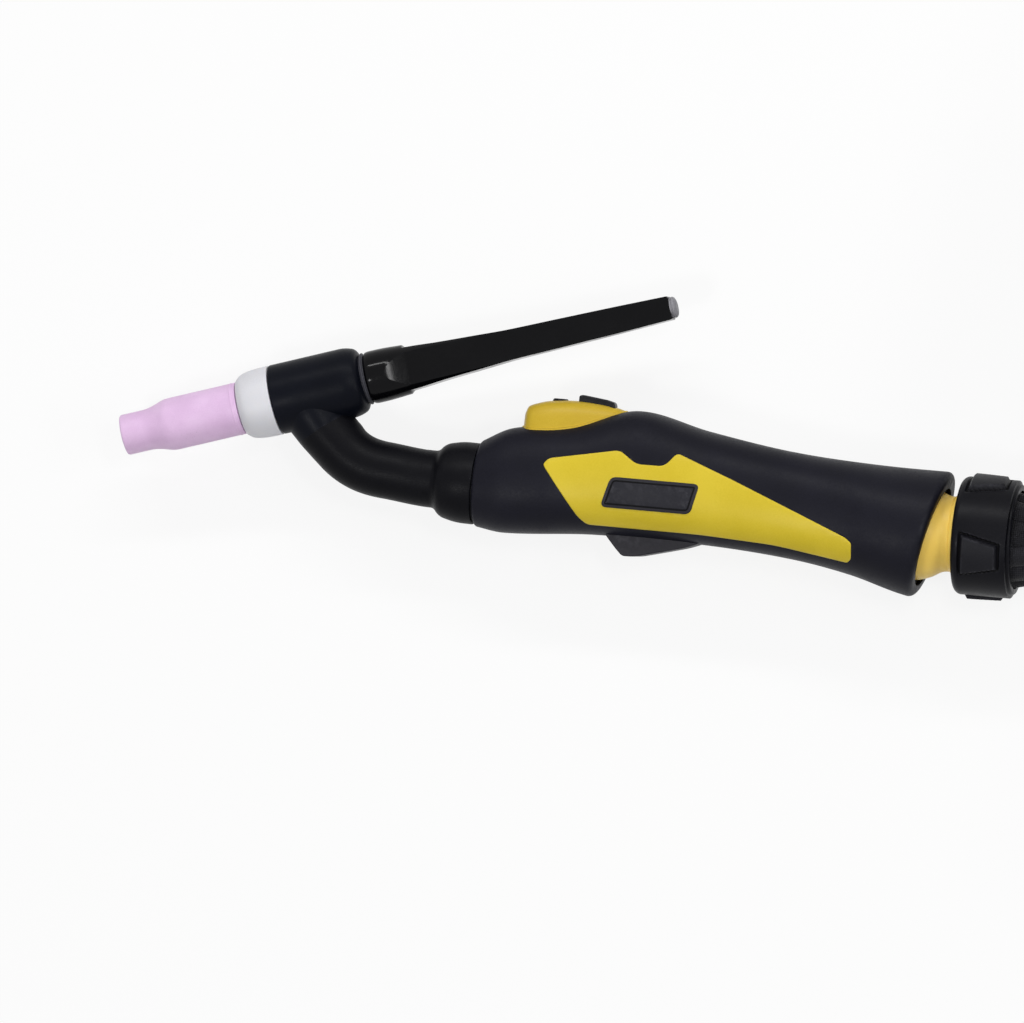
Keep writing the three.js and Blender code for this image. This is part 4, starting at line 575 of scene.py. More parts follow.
ALUMINA = fired_alumina()
WHITE_INSULATOR = moulded("white_insulator_plastic", (207, 207, 212), (215, 215, 220), (190, 188, 192),
                          0.42, pitch=2200.0, depth=0.000015, reach=0.62, scattering=0.1, specular=0.3)
HEAD_RUBBER = moulded("head_rubber", (8, 10, 17), (12, 14, 22), (40, 40, 46), 0.36,
                      pitch=2100.0, depth=0.00002, specular=0.055)
NECK_RUBBER = moulded("neck_rubber", (8, 8, 12), (12, 12, 16), (38, 38, 43), 0.4,
                      pitch=1900.0, depth=0.00003, specular=0.06)
HOSE_RUBBER = moulded("hose_rubber", (22, 22, 25), (32, 32, 35), (60, 60, 64), 0.6, pitch=1500.0,
                      depth=0.00004)
GRIP_BLACK = moulded("grip_black", (16, 16, 24), (21, 21, 30), (52, 52, 60), 0.44, pitch=1500.0,
                     depth=0.000035, specular=0.09)
GLOSS_BLACK = moulded("gloss_black", (3, 3, 5), (6, 6, 8), (30, 30, 35), 0.12,
                      pitch=900.0, depth=0.000004, reach=0.62, smudges=0.14, coat=0.14, specular=0.04)
KEY_BLACK = moulded("key_black", (14, 14, 16), (20, 20, 23), (70, 70, 76), 0.36, pitch=1600.0,
                    depth=0.00002)
INLAY_YELLOW = moulded("inlay_yellow", (203, 179, 39), (211, 187, 49), (226, 206, 104), 0.4,
                       pitch=1700.0, depth=0.00002, reach=0.6, scattering=0.06, specular=0.2)
HOUSING_YELLOW = moulded("housing_yellow", (189, 158, 40), (198, 168, 50), (226, 204, 120), 0.38,
                         pitch=1700.0, depth=0.00002, reach=0.6, scattering=0.06, specular=0.2)
# Painted light: the ball's tones are set brighter than its own yellow to make up for the shade of the
# handle's rim.
BALL_YELLOW_PAINTED_LIGHT = moulded("ball_yellow_painted_light", (247, 208, 98), (251, 216, 108), (240, 216, 138), 0.34,
                      pitch=1900.0, depth=0.000015, reach=0.6, scattering=0.06, specular=0.2)
PLATE_CHARCOAL = moulded("plate_charcoal", (31, 31, 37), (37, 37, 43), (80, 79, 85), 0.46, pitch=1600.0,
                         depth=0.00002)
# Painted shade: a near-black finish for the grooves of the badge plates and round the collar's grips.
GROOVE_PAINTED_SHADE = moulded("groove_painted_shade", (6, 6, 8), (11, 11, 13), (26, 26, 28), 0.6, pitch=1600.0,
                       depth=0.00002)
STOP_CHARCOAL = moulded("stop_charcoal", (40, 39, 44), (45, 44, 49), (66, 66, 72), 0.45, pitch=1500.0,
                        depth=0.000025, reach=0.7)
COLLAR_CHARCOAL = moulded("collar_charcoal", (9, 9, 14), (13, 13, 18), (48, 48, 56), 0.36,
                          pitch=1600.0, depth=0.00002, specular=0.08)
PAD_CHARCOAL = moulded("pad_charcoal", (16, 16, 21), (22, 22, 27), (60, 60, 68), 0.4, pitch=1600.0,
                       depth=0.00002)
SEAL_GREY = moulded("seal_grey", (54, 54, 60), (64, 64, 70), (92, 92, 98), 0.5, pitch=1800.0, depth=0.00002)
CAP_END_GREY = moulded("cap_end_grey", (126, 125, 130), (138, 137, 142), (160, 160, 166), 0.45,
                       pitch=1800.0, depth=0.000015)
TURNED_BRASS = machined("turned_brass", (170, 132, 62), (206, 170, 96), (120, 88, 40), 0.3)
DRAWN_COPPER = machined("drawn_copper", (176, 108, 72), (214, 148, 108), (118, 62, 40), 0.32)
GROUND_STEEL = machined("ground_steel", (138, 138, 143), (178, 178, 184), (96, 94, 96), 0.28)
BOARD = circuit_board()
# The second tone of each woven finish is its painted thread highlight, and also the colour of its dust.
CABLE_TEXTILE = woven_textile("cable_textile", (8, 8, 10), (34, 34, 38), 84.0)
GATHER_TEXTILE = woven_textile("gather_textile", (4, 4, 6), (58, 58, 64), 150.0)


def finished(thing, material, slot, body=None, replaces=()):
    """Gives a piece its finish, the body it goes with and the solids it stands for; the slot is not used."""
    thing.data.materials.clear()
    for each in material if isinstance(material, list) else [material]:
        thing.data.materials.append(each)
    if body:
        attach(thing, body)
    if replaces:
        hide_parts(*replaces)
    return thing


def turned_piece(name, corners, place, sides, dress, looped=False, steps=5, crease=SMOOTH_ANGLE):
    """A finished piece turned from (x, radius, rounding) corners; a looped profile makes a ring."""
    thing = turned(name, rounded(corners, looped, steps), place, sides, looped, crease)
    return finished(thing, *dress)


# ---- floor, backdrop and light ----

def seen_directly(tree):
    """1 for what the camera, a reflection or a clear material sees, 0 for what only gives light."""
    rays = tree.nodes.new("ShaderNodeLightPath").outputs
    seen = maths(tree, "ADD", rays["Is Camera Ray"], rays["Is Glossy Ray"])
    seen = maths(tree, "ADD", seen, rays["Is Transmission Ray"])
    return out(tree, "ShaderNodeClamp", Value=seen)


def mixed_shaders(tree, factor, first, second):
    mix = node(tree, "ShaderNodeMixShader", Fac=factor)
    tree.links.new(first, mix.inputs[1])
    tree.links.new(second, mix.inputs[2])
    return mix


WHITE = (1.0, 1.0, 1.0, 1.0)
FLOOR_WHITE_SHARE = 0.86
FLOOR_DROP = -0.0002
FLOOR_REACH = 12.0
WORLD_STRENGTH = 0.24


def pale_floor():
    """White to the camera and to reflections, with part of its own light left so that it keeps the shadow."""
    material = bpy.data.materials.new("pale_floor")
    tree = emptied(material)
    factor = maths(tree, "MULTIPLY", seen_directly(tree), FLOOR_WHITE_SHARE)
    plain = out(tree, "ShaderNodeBsdfDiffuse", Color=(0.82, 0.82, 0.82, 1.0))
    glow = out(tree, "ShaderNodeEmission", Color=WHITE, Strength=1.0)
    shown(tree, mixed_shaders(tree, factor, plain, glow))
    return material


def make_floor():
    mesh = bpy.data.meshes.new("floor")
    corners = [(-1, -1), (1, -1), (1, 1), (-1, 1)]
    points = [(x * FLOOR_REACH, y * FLOOR_REACH, FLOOR_DROP) for x, y in corners]
    mesh.from_pydata(points, [], [(0, 1, 2, 3)])
    mesh.materials.append(pale_floor())
    floor = placed("floor", mesh)


def make_world():
    """Soft light all round, white where the camera or a reflection meets it."""
    world = bpy.data.worlds.new("studio")
    tree = emptied(world)
    soft = out(tree, "ShaderNodeBackground", Color=WHITE, Strength=WORLD_STRENGTH)
    white = out(tree, "ShaderNodeBackground", Color=WHITE, Strength=1.0)
    shown(tree, mixed_shaders(tree, seen_directly(tree), soft, white), "ShaderNodeOutputWorld")
    bpy.context.scene.world = world


def soft_light(name, place, target, width, height, power):
    lamp = bpy.data.lights.new(name, "AREA")
    lamp.shape = "RECTANGLE"
    lamp.size = width
    lamp.size_y = height
    lamp.energy = power
    light = placed(name, lamp)
    light.location = place
    light.rotation_euler = (Vector(target) - Vector(place)).to_track_quat("-Z", "Y").to_euler()


bpy.context.scene.view_settings.view_transform = "Standard"
make_floor()
make_world()
soft_light("top_box", (-0.10, 1.10, 0.95), (-0.02, 0.0, 0.02), 1.5, 0.09, 11.0)
soft_light("front_box", (-0.55, -0.55, 1.60), (0.0, 0.0, 0.02), 0.3, 0.3, 7.5)
soft_light("side_box", (1.10, 0.10, 1.10), (0.0, 0.0, 0.02), 0.9, 0.3, 5.5)
soft_light("glint_box", (0.51, 0.30, 1.60), (-0.076, 0.01, 0.025), 0.36, 0.18, 5.0)


# ---- the cable: it leaves the collar, lies down and is wound in four layers behind the view ----

CABLE_RADIUS = 10.0
FLOOR_Z = -24.751
COIL_X, COIL_Y = 374.7, 94.6
COIL_TURNS = 5.5
COIL_STEPS = 24
COIL_START = math.radians(-105)
COIL_RADIUS, COIL_PITCH = 100, 21
LAYER_TURNS, LAYERS = 1.375, 4
CLIMB_TURNS = 0.5
FIRST_LAYER, LAYER_RISE = 12, 20.5
LEAD_ROUTE = [(244.6, -3, 25), (249.6, -3, 25), (261.6, -3, 24.3), (273.6, -3, 22.1), (285.6, -3, 18.5),
              (297.6, -3.35, 14.9), (309.5, -4.65, 12.7)]
TAIL_ROUTE = [(356.7, 212.1, 94.6), (334.2, 209.1, 95.9), (313.3, 200.5, 98.0), (295.3, 186.7, 100.7),
              (281.5, 168.7, 102.8), (272.9, 147.8, 104.2), (269.9, 125.3, 104.8), (269.9, 119.3, 104.8)]
COIL_RUNS = (25.3, 20.3)


def coil_at(turn, beyond=0.0):
    """The winding's centre line: each layer spirals in or out and climbs to the next in half a turn."""
    along = (turn + CLIMB_TURNS / 2) % (2 * LAYER_TURNS)
    inward = min(along, 2 * LAYER_TURNS - along)
    radius = COIL_RADIUS + COIL_PITCH * (LAYER_TURNS / 2 + CLIMB_TURNS / 4 - inward)
    layer = min(math.floor(turn / LAYER_TURNS), LAYERS - 1)
    climbed = (turn - LAYER_TURNS * layer - (LAYER_TURNS - CLIMB_TURNS)) / CLIMB_TURNS
    height = FIRST_LAYER + LAYER_RISE * (layer + smooth(climbed))
    angle = COIL_START + math.tau * turn
    return (COIL_X + radius * math.cos(angle) - beyond * math.sin(angle),
            COIL_Y + radius * math.sin(angle) + beyond * math.cos(angle), FLOOR_Z + height)


def cable_route():
    route = [(x, y, FLOOR_Z + z) for x, y, z in LEAD_ROUTE]
    route += [coil_at(0, -run) for run in COIL_RUNS]
    steps = int(COIL_TURNS * COIL_STEPS)
    route += [coil_at(COIL_TURNS * k / steps) for k in range(steps + 1)]
    route += [coil_at(COIL_TURNS, run) for run in reversed(COIL_RUNS)]
    return route + [(x, y, FLOOR_Z + z) for x, y, z in TAIL_ROUTE]


def eased(route, parts):
    """A smooth curve through the route's points, with a number of parts to each stretch."""
    points = [Vector(point) for point in route]
    line = []
    for k in range(len(points) - 1):
        before, start, end, after = (points[max(k - 1, 0)], points[k], points[k + 1],
                                     points[min(k + 2, len(points) - 1)])
        for i in range(parts):
            t = i / parts
            line.append(0.5 * (2 * start + (end - before) * t
                               + (2 * before - 5 * start + 4 * end - after) * t * t
                               + (3 * start - before - 3 * end + after) * t ** 3))
    return line + [points[-1]]


def make_cable():
    route = cable_route()
    cable = tube_along("cable", eased(route, 3), CABLE_RADIUS, woven=True)
    finished(cable, CABLE_TEXTILE, "textile", "cable", ["cable_lead", "cable_coil", "cable_tail"])
    return cable, route


cable, cable_path = make_cable()


# ---- repeating forms, by geometry nodes ----

def new_tree(name, *labels):
    """A tree with a geometry, numbers and a finish as its inputs; a Count is a whole number."""
    tree = bpy.data.node_groups.new(name, "GeometryNodeTree")
    kinds = {"Geometry": "NodeSocketGeometry", "Count": "NodeSocketInt", "Finish": "NodeSocketMaterial"}
    for label in ("Geometry", *labels, "Finish"):
        tree.interface.new_socket(label, in_out="INPUT", socket_type=kinds.get(label, FLOAT))
    tree.interface.new_socket("Geometry", in_out="OUTPUT", socket_type="NodeSocketGeometry")
    return tree, tree.nodes.new("NodeGroupInput").outputs, tree.nodes.new("NodeGroupOutput").inputs


def ended(tree, geometry, given, result):
    """Realizes the copies, gives them the named finish and ends the tree."""
    real = out(tree, "GeometryNodeRealizeInstances", Geometry=geometry)
    made = out(tree, "GeometryNodeSetMaterial", Geometry=real, Material=given["Finish"])
    tree.links.new(made, result[0])
    return tree


def vector(tree, x=0.0, y=0.0, z=0.0):
    return out(tree, "ShaderNodeCombineXYZ", X=x, Y=y, Z=z)


def moved(tree, geometry, **change):
    return out(tree, "GeometryNodeTransform", Geometry=geometry, **change)


def round_bar(tree, sides, radius, depth):
    return out(tree, "GeometryNodeMeshCylinder", Vertices=sides, Radius=radius, Depth=depth)


def copies_at(tree, points, instance, **inputs):
    return out(tree, "GeometryNodeInstanceOnPoints", Points=points, Instance=instance, **inputs)


def milled(tree, body, tools):
    return out(tree, "GeometryNodeMeshBoolean", {"operation": "DIFFERENCE", "solver": "MANIFOLD"},
               **{"Mesh 1": body, "Mesh 2": tools})


QUARTER_ABOUT_Y = (0.0, math.pi / 2, 0.0)


def screw_tree():
    """Countersunk screws with a hexagon socket, one at each point, their heads to -Z."""
    tree, given, result = new_tree("shell_screws", "Head Radius", "Head Height", "Edge", "Socket Radius",
                                   "Shaft Radius", "Shaft Length")
    straight = maths(tree, "SUBTRACT", given["Head Height"], given["Edge"])
    head = round_bar(tree, 32, given["Head Radius"], straight)
    inner = maths(tree, "SUBTRACT", given["Head Radius"], given["Edge"])
    crown = out(tree, "GeometryNodeMeshCone", Vertices=32, Depth=given["Edge"],
                **{"Radius Top": given["Head Radius"], "Radius Bottom": inner})
    low = maths(tree, "MULTIPLY_ADD", straight, -0.5, maths(tree, "MULTIPLY", given["Edge"], -0.999))
    crown = moved(tree, crown, Translation=vector(tree, z=low))
    shaft = round_bar(tree, 20, given["Shaft Radius"], given["Shaft Length"])
    rise = maths(tree, "MULTIPLY", given["Shaft Length"], 0.5)
    shaft = moved(tree, shaft, Translation=vector(tree, z=rise))
    solid = node(tree, "GeometryNodeMeshBoolean", {"operation": "UNION", "solver": "MANIFOLD"})
    for part in (head, crown, shaft):
        tree.links.new(part, solid.inputs["Mesh 2"])
    socket = round_bar(tree, 6, given["Socket Radius"], given["Head Height"])
    down = maths(tree, "MULTIPLY", given["Head Height"], -0.85)
    open_head = milled(tree, solid.outputs[0], moved(tree, socket, Translation=vector(tree, z=down)))
    return ended(tree, copies_at(tree, given["Geometry"], open_head), given, result)


def ring_tree():
    """Round-backed rings in a row along X, from a first to a last radius."""
    tree, given, result = new_tree("boot_ribs", "Count", "Pitch", "First Radius", "Last Radius", "Thickness")
    row = out(tree, "GeometryNodeMeshLine", Count=given["Count"], Offset=vector(tree, x=given["Pitch"]))
    hoop = out(tree, "GeometryNodeCurvePrimitiveCircle", Resolution=64, Radius=given["First Radius"])
    hoop = moved(tree, hoop, Rotation=QUARTER_ABOUT_Y)
    wire = out(tree, "GeometryNodeCurvePrimitiveCircle", Resolution=16, Radius=given["Thickness"])
    rib = out(tree, "GeometryNodeCurveToMesh", Curve=hoop, **{"Profile Curve": wire})
    place = out(tree, "GeometryNodeInputIndex")
    share = maths(tree, "DIVIDE", place, maths(tree, "SUBTRACT", given["Count"], 1.0))
    growth = maths(tree, "DIVIDE", given["Last Radius"], given["First Radius"])
    size = out(tree, "ShaderNodeMapRange", i0=share, i1=0.0, i2=1.0, i3=1.0, i4=growth)
    copies = copies_at(tree, row, rib, Scale=vector(tree, x=1.0, y=size, z=size))
    return ended(tree, copies, given, result)


def flute_tree():
    """Rounded grip flutes milled along X into a turned body."""
    tree, given, result = new_tree("nut_flutes", "Count", "Body Radius", "Flute Radius", "Start", "Length")
    ring = out(tree, "GeometryNodeMeshCircle", Vertices=given["Count"], Radius=given["Body Radius"])
    ring = moved(tree, ring, Rotation=QUARTER_ABOUT_Y)
    cutter = out(tree, "GeometryNodeMeshUVSphere", Segments=20, Rings=14, Radius=given["Flute Radius"])
    stretch = maths(tree, "DIVIDE", given["Length"], maths(tree, "MULTIPLY", given["Flute Radius"], 2.0))
    middle = maths(tree, "MULTIPLY_ADD", given["Length"], 0.5, given["Start"])
    cutter = moved(tree, cutter, Scale=vector(tree, x=stretch, y=1.0, z=1.0))
    tools = out(tree, "GeometryNodeRealizeInstances", Geometry=copies_at(tree, ring, cutter))
    tools = moved(tree, tools, Translation=vector(tree, x=middle))
    return ended(tree, milled(tree, given["Geometry"], tools), given, result)


def by_nodes(thing, tree, **values):
    """Runs a tree on an object with its inputs set by their sockets, and keeps the plain mesh."""
    grower = thing.modifiers.new("grower", "NODES")
    grower.node_group = tree
    named = {item.name: item for item in tree.interface.items_tree if item.in_out == "INPUT"}
    for label, value in values.items():
        grower[named[label.replace("_", " ")].identifier] = value
    settled(thing, SMOOTH_ANGLE)
    return thing


def points_only(name, points):
    """An object of loose points, in the frame's metres already."""
    mesh = bpy.data.meshes.new(name)
    mesh.from_pydata(points, [], [])
    return placed(name, mesh)


def from_metres(place):
    """The move from metres about the origin to a place given in the torch's millimetres."""
    return TO_FRAME @ place @ Matrix.Scale(1 / MM, 4)


def along_x(distance):
    return Matrix.Translation((distance, 0, 0))


# ---- plug on the cable's end ----

PLUG_PLACE = heading_place(269.9, 119.3, -90, FLOOR_Z + 104.8)
SLOTS = 16
PIN_TURNS = (-30, 30)
PIN_REACH = 10.8


def about_x(turn):
    return Matrix.Rotation(turn, 4, "X")


def pin_place(degrees):
    return PLUG_PLACE @ about_x(math.radians(degrees)) @ Matrix.Translation((0, 0, PIN_REACH))


def make_boot():
    boot = turned_piece("plug_boot_body", [
        (0.3, 0, 0), (0.3, 12.1, 1.2), (20, 13.0, 6), (36, 14.6, 3), (40.3, 14.9, 0.8), (40.3, 0, 0)],
        PLUG_PLACE, 64, (HOSE_RUBBER, "neck_rubber", "cable", ["plug_boot"]))
    ribs = by_nodes(points_only("plug_boot_ribs", []), ring_tree(), Count=6, Pitch=0.0052,
                    First_Radius=0.0119, Last_Radius=0.0139, Thickness=0.0011, Finish=HOSE_RUBBER)
    ribs.data.transform(from_metres(PLUG_PLACE @ along_x(6.0)))
    finished(ribs, HOSE_RUBBER, "neck_rubber", "cable")
    return [boot, ribs]


def make_plug_housing():
    profile = rounded([(40.6, 0, 0), (40.6, 18.5, 2.4), (66.0, 18.5, 0.8), (66.8, 16.5, 0.4),
                       (79.6, 16.5, 0.3), (79.6, 17.6, 0.5), (86.6, 17.6, 0.8), (86.6, 0, 0)])
    housing = turned("plug_housing_body", profile, PLUG_PLACE)
    for k in range(SLOTS):
        place = PLUG_PLACE @ about_x(math.tau * k / SLOTS)
        cut(housing, block((46, -0.55, 18.0), (62, 0.55, 19.5), place))
    for degrees in PIN_TURNS:
        cut(housing, rod(78.6, 88, 1.5, pin_place(degrees), 24))
    cut(housing, rod(72.6, 88, 5.3, PLUG_PLACE, 48))
    return finished(housing, GRIP_BLACK, "grip_black", "cable", ["plug_housing"])


def make_plug_nut():
    profile = rounded([(68.9, 17.0, 0.3), (68.9, 21.0, 1.0), (93.9, 21.0, 1.0), (93.9, 18.0, 0.4),
                       (79.3, 18.0, 0.1), (79.3, 17.0, 0.1)], looped=True)
    nut = turned("plug_nut_ring", profile, PLUG_PLACE, bored=True)
    nut.data.transform(from_metres(PLUG_PLACE).inverted())
    by_nodes(nut, flute_tree(), Count=18, Body_Radius=0.0224, Flute_Radius=0.0023, Start=0.0705,
             Length=0.0215, Finish=PLATE_CHARCOAL)
    nut.data.transform(from_metres(PLUG_PLACE))
    return finished(nut, STOP_CHARCOAL, "charcoal", "plug_nut", ["plug_union_nut"])


def make_plug_pins():
    pins = [turned_piece("power_pin", [
        (72.9, 0, 0), (72.9, 5.0, 0.4), (96, 5.0, 0.2), (96.4, 4.5, 0.2), (97.6, 4.5, 0.2), (98, 5.0, 0.2),
        (112.6, 5.0, 1.2), (112.6, 1.8, 0.3), (104, 1.8, 0.2), (104, 0, 0)],
        PLUG_PLACE, 64, (TURNED_BRASS, "brass", "cable", ["plug_power_pin"]))]
    for k, degrees in enumerate(PIN_TURNS, 1):
        pins.append(turned_piece(f"control_pin_{k}", [
            (79.0, 0, 0), (79.0, 1.2, 0.2), (94.6, 1.2, 0.9), (94.6, 0, 0)],
            pin_place(degrees), 24, (TURNED_BRASS, "brass", "cable", [f"plug_control_pin_{k}"])))
    return pins


plug_pieces = [*make_boot(), make_plug_housing(), make_plug_nut(), *make_plug_pins()]


# ---- neck: its centre line from the collar to the head ----

NECK_COLLAR_LENGTH = 16.5
AXIS_Y = 0.7
NECK_HEADING = math.radians(178.5)
NECK_STRAIGHT = 21.0
NECK_BEND_RADIUS = 29.4
NECK_BEND = math.radians(51.5)
NECK_TOTAL = 2 * NECK_STRAIGHT + NECK_BEND_RADIUS * NECK_BEND
NECK_RADIUS = 11.2
ZONE = 10.4
NECK_SIDES = 72
CORNER_CUT = 1.6
ROOT_SWELL = 1.3
SLEEVE_TUCK = 2.0
HAIR = 0.02
FRONT_PLACE = heading_place(0, 0.35, -1.5)


def neck_at(distance):
    """The neck's centre and heading at a distance from the collar's front."""
    straight = min(distance, NECK_STRAIGHT)
    arc = NECK_BEND_RADIUS * NECK_BEND
    bent = min(max(distance - NECK_STRAIGHT, 0), arc) / NECK_BEND_RADIUS
    rest = max(distance - NECK_STRAIGHT - arc, 0)
    turn = NECK_HEADING - bent
    x = -NECK_COLLAR_LENGTH + straight * math.cos(NECK_HEADING) + rest * math.cos(turn)
    y = AXIS_Y + straight * math.sin(NECK_HEADING) + rest * math.sin(turn)
    x += NECK_BEND_RADIUS * (math.sin(NECK_HEADING) - math.sin(turn))
    y += NECK_BEND_RADIUS * (math.cos(turn) - math.cos(NECK_HEADING))
    return x, y, turn


def neck_ring(distance, radius, cover):
    """A ring across the neck; a cover cuts the bend's corner and, near the head, swells inside it."""
    x, y, heading = neck_at(distance)
    shift = cover * CORNER_CUT * smooth(distance, 2, 26) * (1 - smooth(distance, 42, 54))
    swell = cover * ROOT_SWELL * smooth(distance, 36, 54)
    ring = []
    for _, up, out_of_plane in circle(0, 1.0, NECK_SIDES):
        across = radius * up - shift - swell * max(-up, 0.0) ** 2
        ring.append((x - across * math.sin(heading), y + across * math.cos(heading), radius * out_of_plane))
    return ring


def neck_sleeve(name, start, end, radius, cover=0.0):
    """A closed sleeve along the neck whose radius is a number or a function of the distance."""
    rings = []
    for distance in span(start, end, max(3, round((end - start) / 0.7) + 1)):
        rings.append(neck_ring(distance, radius(distance) if callable(radius) else radius, cover))
    return piece(name, *skin(rings), crease=TUBE_CREASE)


NECK_BODIES = ["handle", "neck_link_1", "neck_link_2", "neck_link_3", "neck_link_4", "head"]
NECK_COVERS = 4
BLEND_SET_IN = 0.9


def tucked(start, end):
    """The sleeve's radius, a hair smaller where it runs on under its neighbours."""
    return lambda distance: NECK_RADIUS - (HAIR if distance < start or distance > end else 0.0)


def make_neck():
    for k in range(len(NECK_BODIES) - 1):
        start, end = ZONE * k, ZONE * (k + 1)
        sleeve = neck_sleeve(f"neck_sleeve_{k + 1}", start - SLEEVE_TUCK, end + SLEEVE_TUCK,
                             tucked(start, end), cover=1.0)
        covers = [f"neck_cover_{k + 1}"] if k < NECK_COVERS else []
        finished(sleeve, NECK_RUBBER, "neck_rubber", replaces=covers)
        set_in = 0.0 if k < 2 else BLEND_SET_IN
        ends = [neck_at(start + set_in), neck_at(end - set_in)]
        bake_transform(sleeve)


def make_neck_collar():
    turned_piece("neck_collar_rubber", [
        (-21.6, 7.0, 0), (-21.55, 11.22, 0.1), (-16.5, 11.25, 1.5), (-13.9, 14.4, 2.4), (-7.2, 16.0, 3.0),
        (-0.3, 16.0, 0.5), (-0.3, 14.8, 0), (0.5, 14.8, 0), (0.5, 7.0, 0)],
        FRONT_PLACE, 96, (NECK_RUBBER, "neck_rubber", "handle", ["neck_collar"]), looped=True, steps=6,
        crease=40)


make_neck()
make_neck_collar()


# ---- head, nozzle and back cap, measured along the head's axis from the nozzle's mouth ----

HEAD_TURN = 109.2
HEAD_REACH = 70.6
HEAD_HEADING = math.degrees(neck_at(NECK_TOTAL)[2]) - HEAD_TURN
HEAD_ROOT = Vector(neck_at(NECK_TOTAL)[:2])
HEAD_ALONG = Vector((math.cos(math.radians(HEAD_HEADING)), math.sin(math.radians(HEAD_HEADING))))
MOUTH = HEAD_ROOT - HEAD_ALONG * HEAD_REACH
HEAD_PLACE = heading_place(MOUTH.x, MOUTH.y, HEAD_HEADING)


def make_nozzle():
    turned_piece("ceramic_cup", [
        (51.2, 7.2, 0.2), (51.2, 8.8, 0.3), (45.5, 8.8, 0.15), (45.5, 10.3, 0.5), (43.9, 10.3, 0.12),
        (43.7, 10.42, 0.1), (43.3, 10.42, 0.1), (43.1, 10.3, 0.12), (16.0, 10.3, 2.6), (12.2, 8.9, 1.8),
        (8.4, 8.0, 2.4), (-2.4, 8.0, 1.0), (-2.4, 5.5, 1.0), (9.1, 5.5, 1.2), (16.6, 6.8, 2.0)],
        HEAD_PLACE, 128, (ALUMINA, "alumina", "nozzle", ["ceramic_nozzle"]), looped=True, steps=6,
        crease=40)


def make_insulator():
    turned_piece("insulator_ring", [
        (45.8, 9.2, 0.2), (45.8, 10.6, 0.5), (46.4, 11.3, 0.5), (48.3, 12.75, 1.4), (51.6, 13.5, 2.0),
        (56.2, 13.8, 2.0), (59.6, 13.8, 0.5), (59.6, 10.6, 0.3), (64.4, 10.6, 0.3), (64.4, 9.3, 0.2)],
        HEAD_PLACE, 128, (WHITE_INSULATOR, "white_insulator", "head", ["cup_insulator"]), looped=True,
        steps=6, crease=40)


STUB_START, STUB_END = 52.0, 60.0
STUB_FLARE = 0.7


def stub_radius(distance):
    """The head's stub over the neck: it meets the head's side in a crisp saddle with hardly any flare."""
    return NECK_RADIUS + HAIR + STUB_FLARE * smooth(distance, STUB_START, STUB_END)


def make_head_cover():
    shell = turned("head_rubber_cover", rounded([
        (59.9, 0, 0), (59.9, 13.8, 0.8), (90.6, 13.85, 3.4), (94.8, 12.5, 2.4), (96.0, 9.6, 0.6),
        (96.0, 0, 0)], steps=9), HEAD_PLACE, 144, crease=40)
    stub = neck_sleeve("stub", STUB_START, NECK_TOTAL - 3.0, stub_radius, cover=1.0)
    combined(shell, stub, "UNION", crease=28)
    bore = turned("bore", [(59.0, 0), (59.0, 10.9), (64.8, 10.9), (64.8, 9.25), (97.0, 9.25), (97.0, 0)],
                  HEAD_PLACE, 64)
    tube_bore = neck_sleeve("tube_bore", 50.0, NECK_TOTAL - 4.0, 4.3)
    cut(shell, bore, tube_bore, crease=28)
    return finished(shell, HEAD_RUBBER, "neck_rubber", "head", ["head_cover"])


def make_seal():
    turned_piece("cap_seal_ring", [
        (95.8, 8.0, 0.1), (95.8, 9.5, 0.1), (96.4, 9.6, 0.1), (96.6, 10.3, 0.15), (97.1, 10.3, 0.15),
        (97.3, 9.6, 0.1), (97.6, 9.5, 0.1), (97.6, 8.0, 0.1)],
        HEAD_PLACE, 128, (SEAL_GREY, "seal_grey", "head", ["cap_seal"]), looped=True, steps=4, crease=50)


CAP_PLACE = HEAD_PLACE @ along_x(97.7)
CAP_FLAT_START = 15.2
CAP_FLAT_POINTS, CAP_CORNER_POINTS = 9, 5
SCOOP_START, SCOOP_END = 7.6, 17.0
CAP_RADIUS = curve_through([[0, 9.3], [0.8, 10.2], [4, 10.42], [9, 10.3], [16, 9.85], [20, 9.7], [55, 8.3],
                            [126, 7.0]])
CAP_SIDE = curve_through([[0, 7.9], [18, 7.3], [55, 5.6], [126, 4.15]])
CAP_TOP = curve_through([[0, 9.0], [19, 8.4], [30, 7.55], [46, 6.65], [58, 6.0], [78, 5.65], [102, 5.2],
                         [126, 4.6]])


def cap_ring(x, flat_share):
    """A ring of the cap: round corners between two broad side flats, scooped where they start, and two
    narrow flats above and below, which come up with their share."""
    radius = CAP_RADIUS(x)
    scooped = min(max((x - SCOOP_START) / (SCOOP_END - SCOOP_START), 0.0), 1.0) ** 1.3
    halves = [radius + (CAP_SIDE(x) - radius) * scooped, CAP_TOP(x)]
    if x > CAP_FLAT_START:
        radius = min(radius, 0.985 * math.hypot(*halves))
    angles = [math.acos(min(max(half / radius, 0.0), 0.985)) for half in halves]
    ring = []
    for quarter in range(4):
        middle = math.pi / 2 * quarter
        kind = (quarter + 1) % 2
        half, reach = halves[kind], angles[kind]
        for turn in span(-reach, reach, CAP_FLAT_POINTS):
            flat = min(half / math.cos(turn), radius)
            size = radius + (flat - radius) * (flat_share if kind else 1.0)
            ring.append((middle + turn, size))
        following = math.pi / 2 - angles[1 - kind]
        for turn in span(reach, following, CAP_CORNER_POINTS)[1:-1]:
            ring.append((middle + turn, radius))
    return [(x, size * math.cos(angle), size * math.sin(angle)) for angle, size in ring]


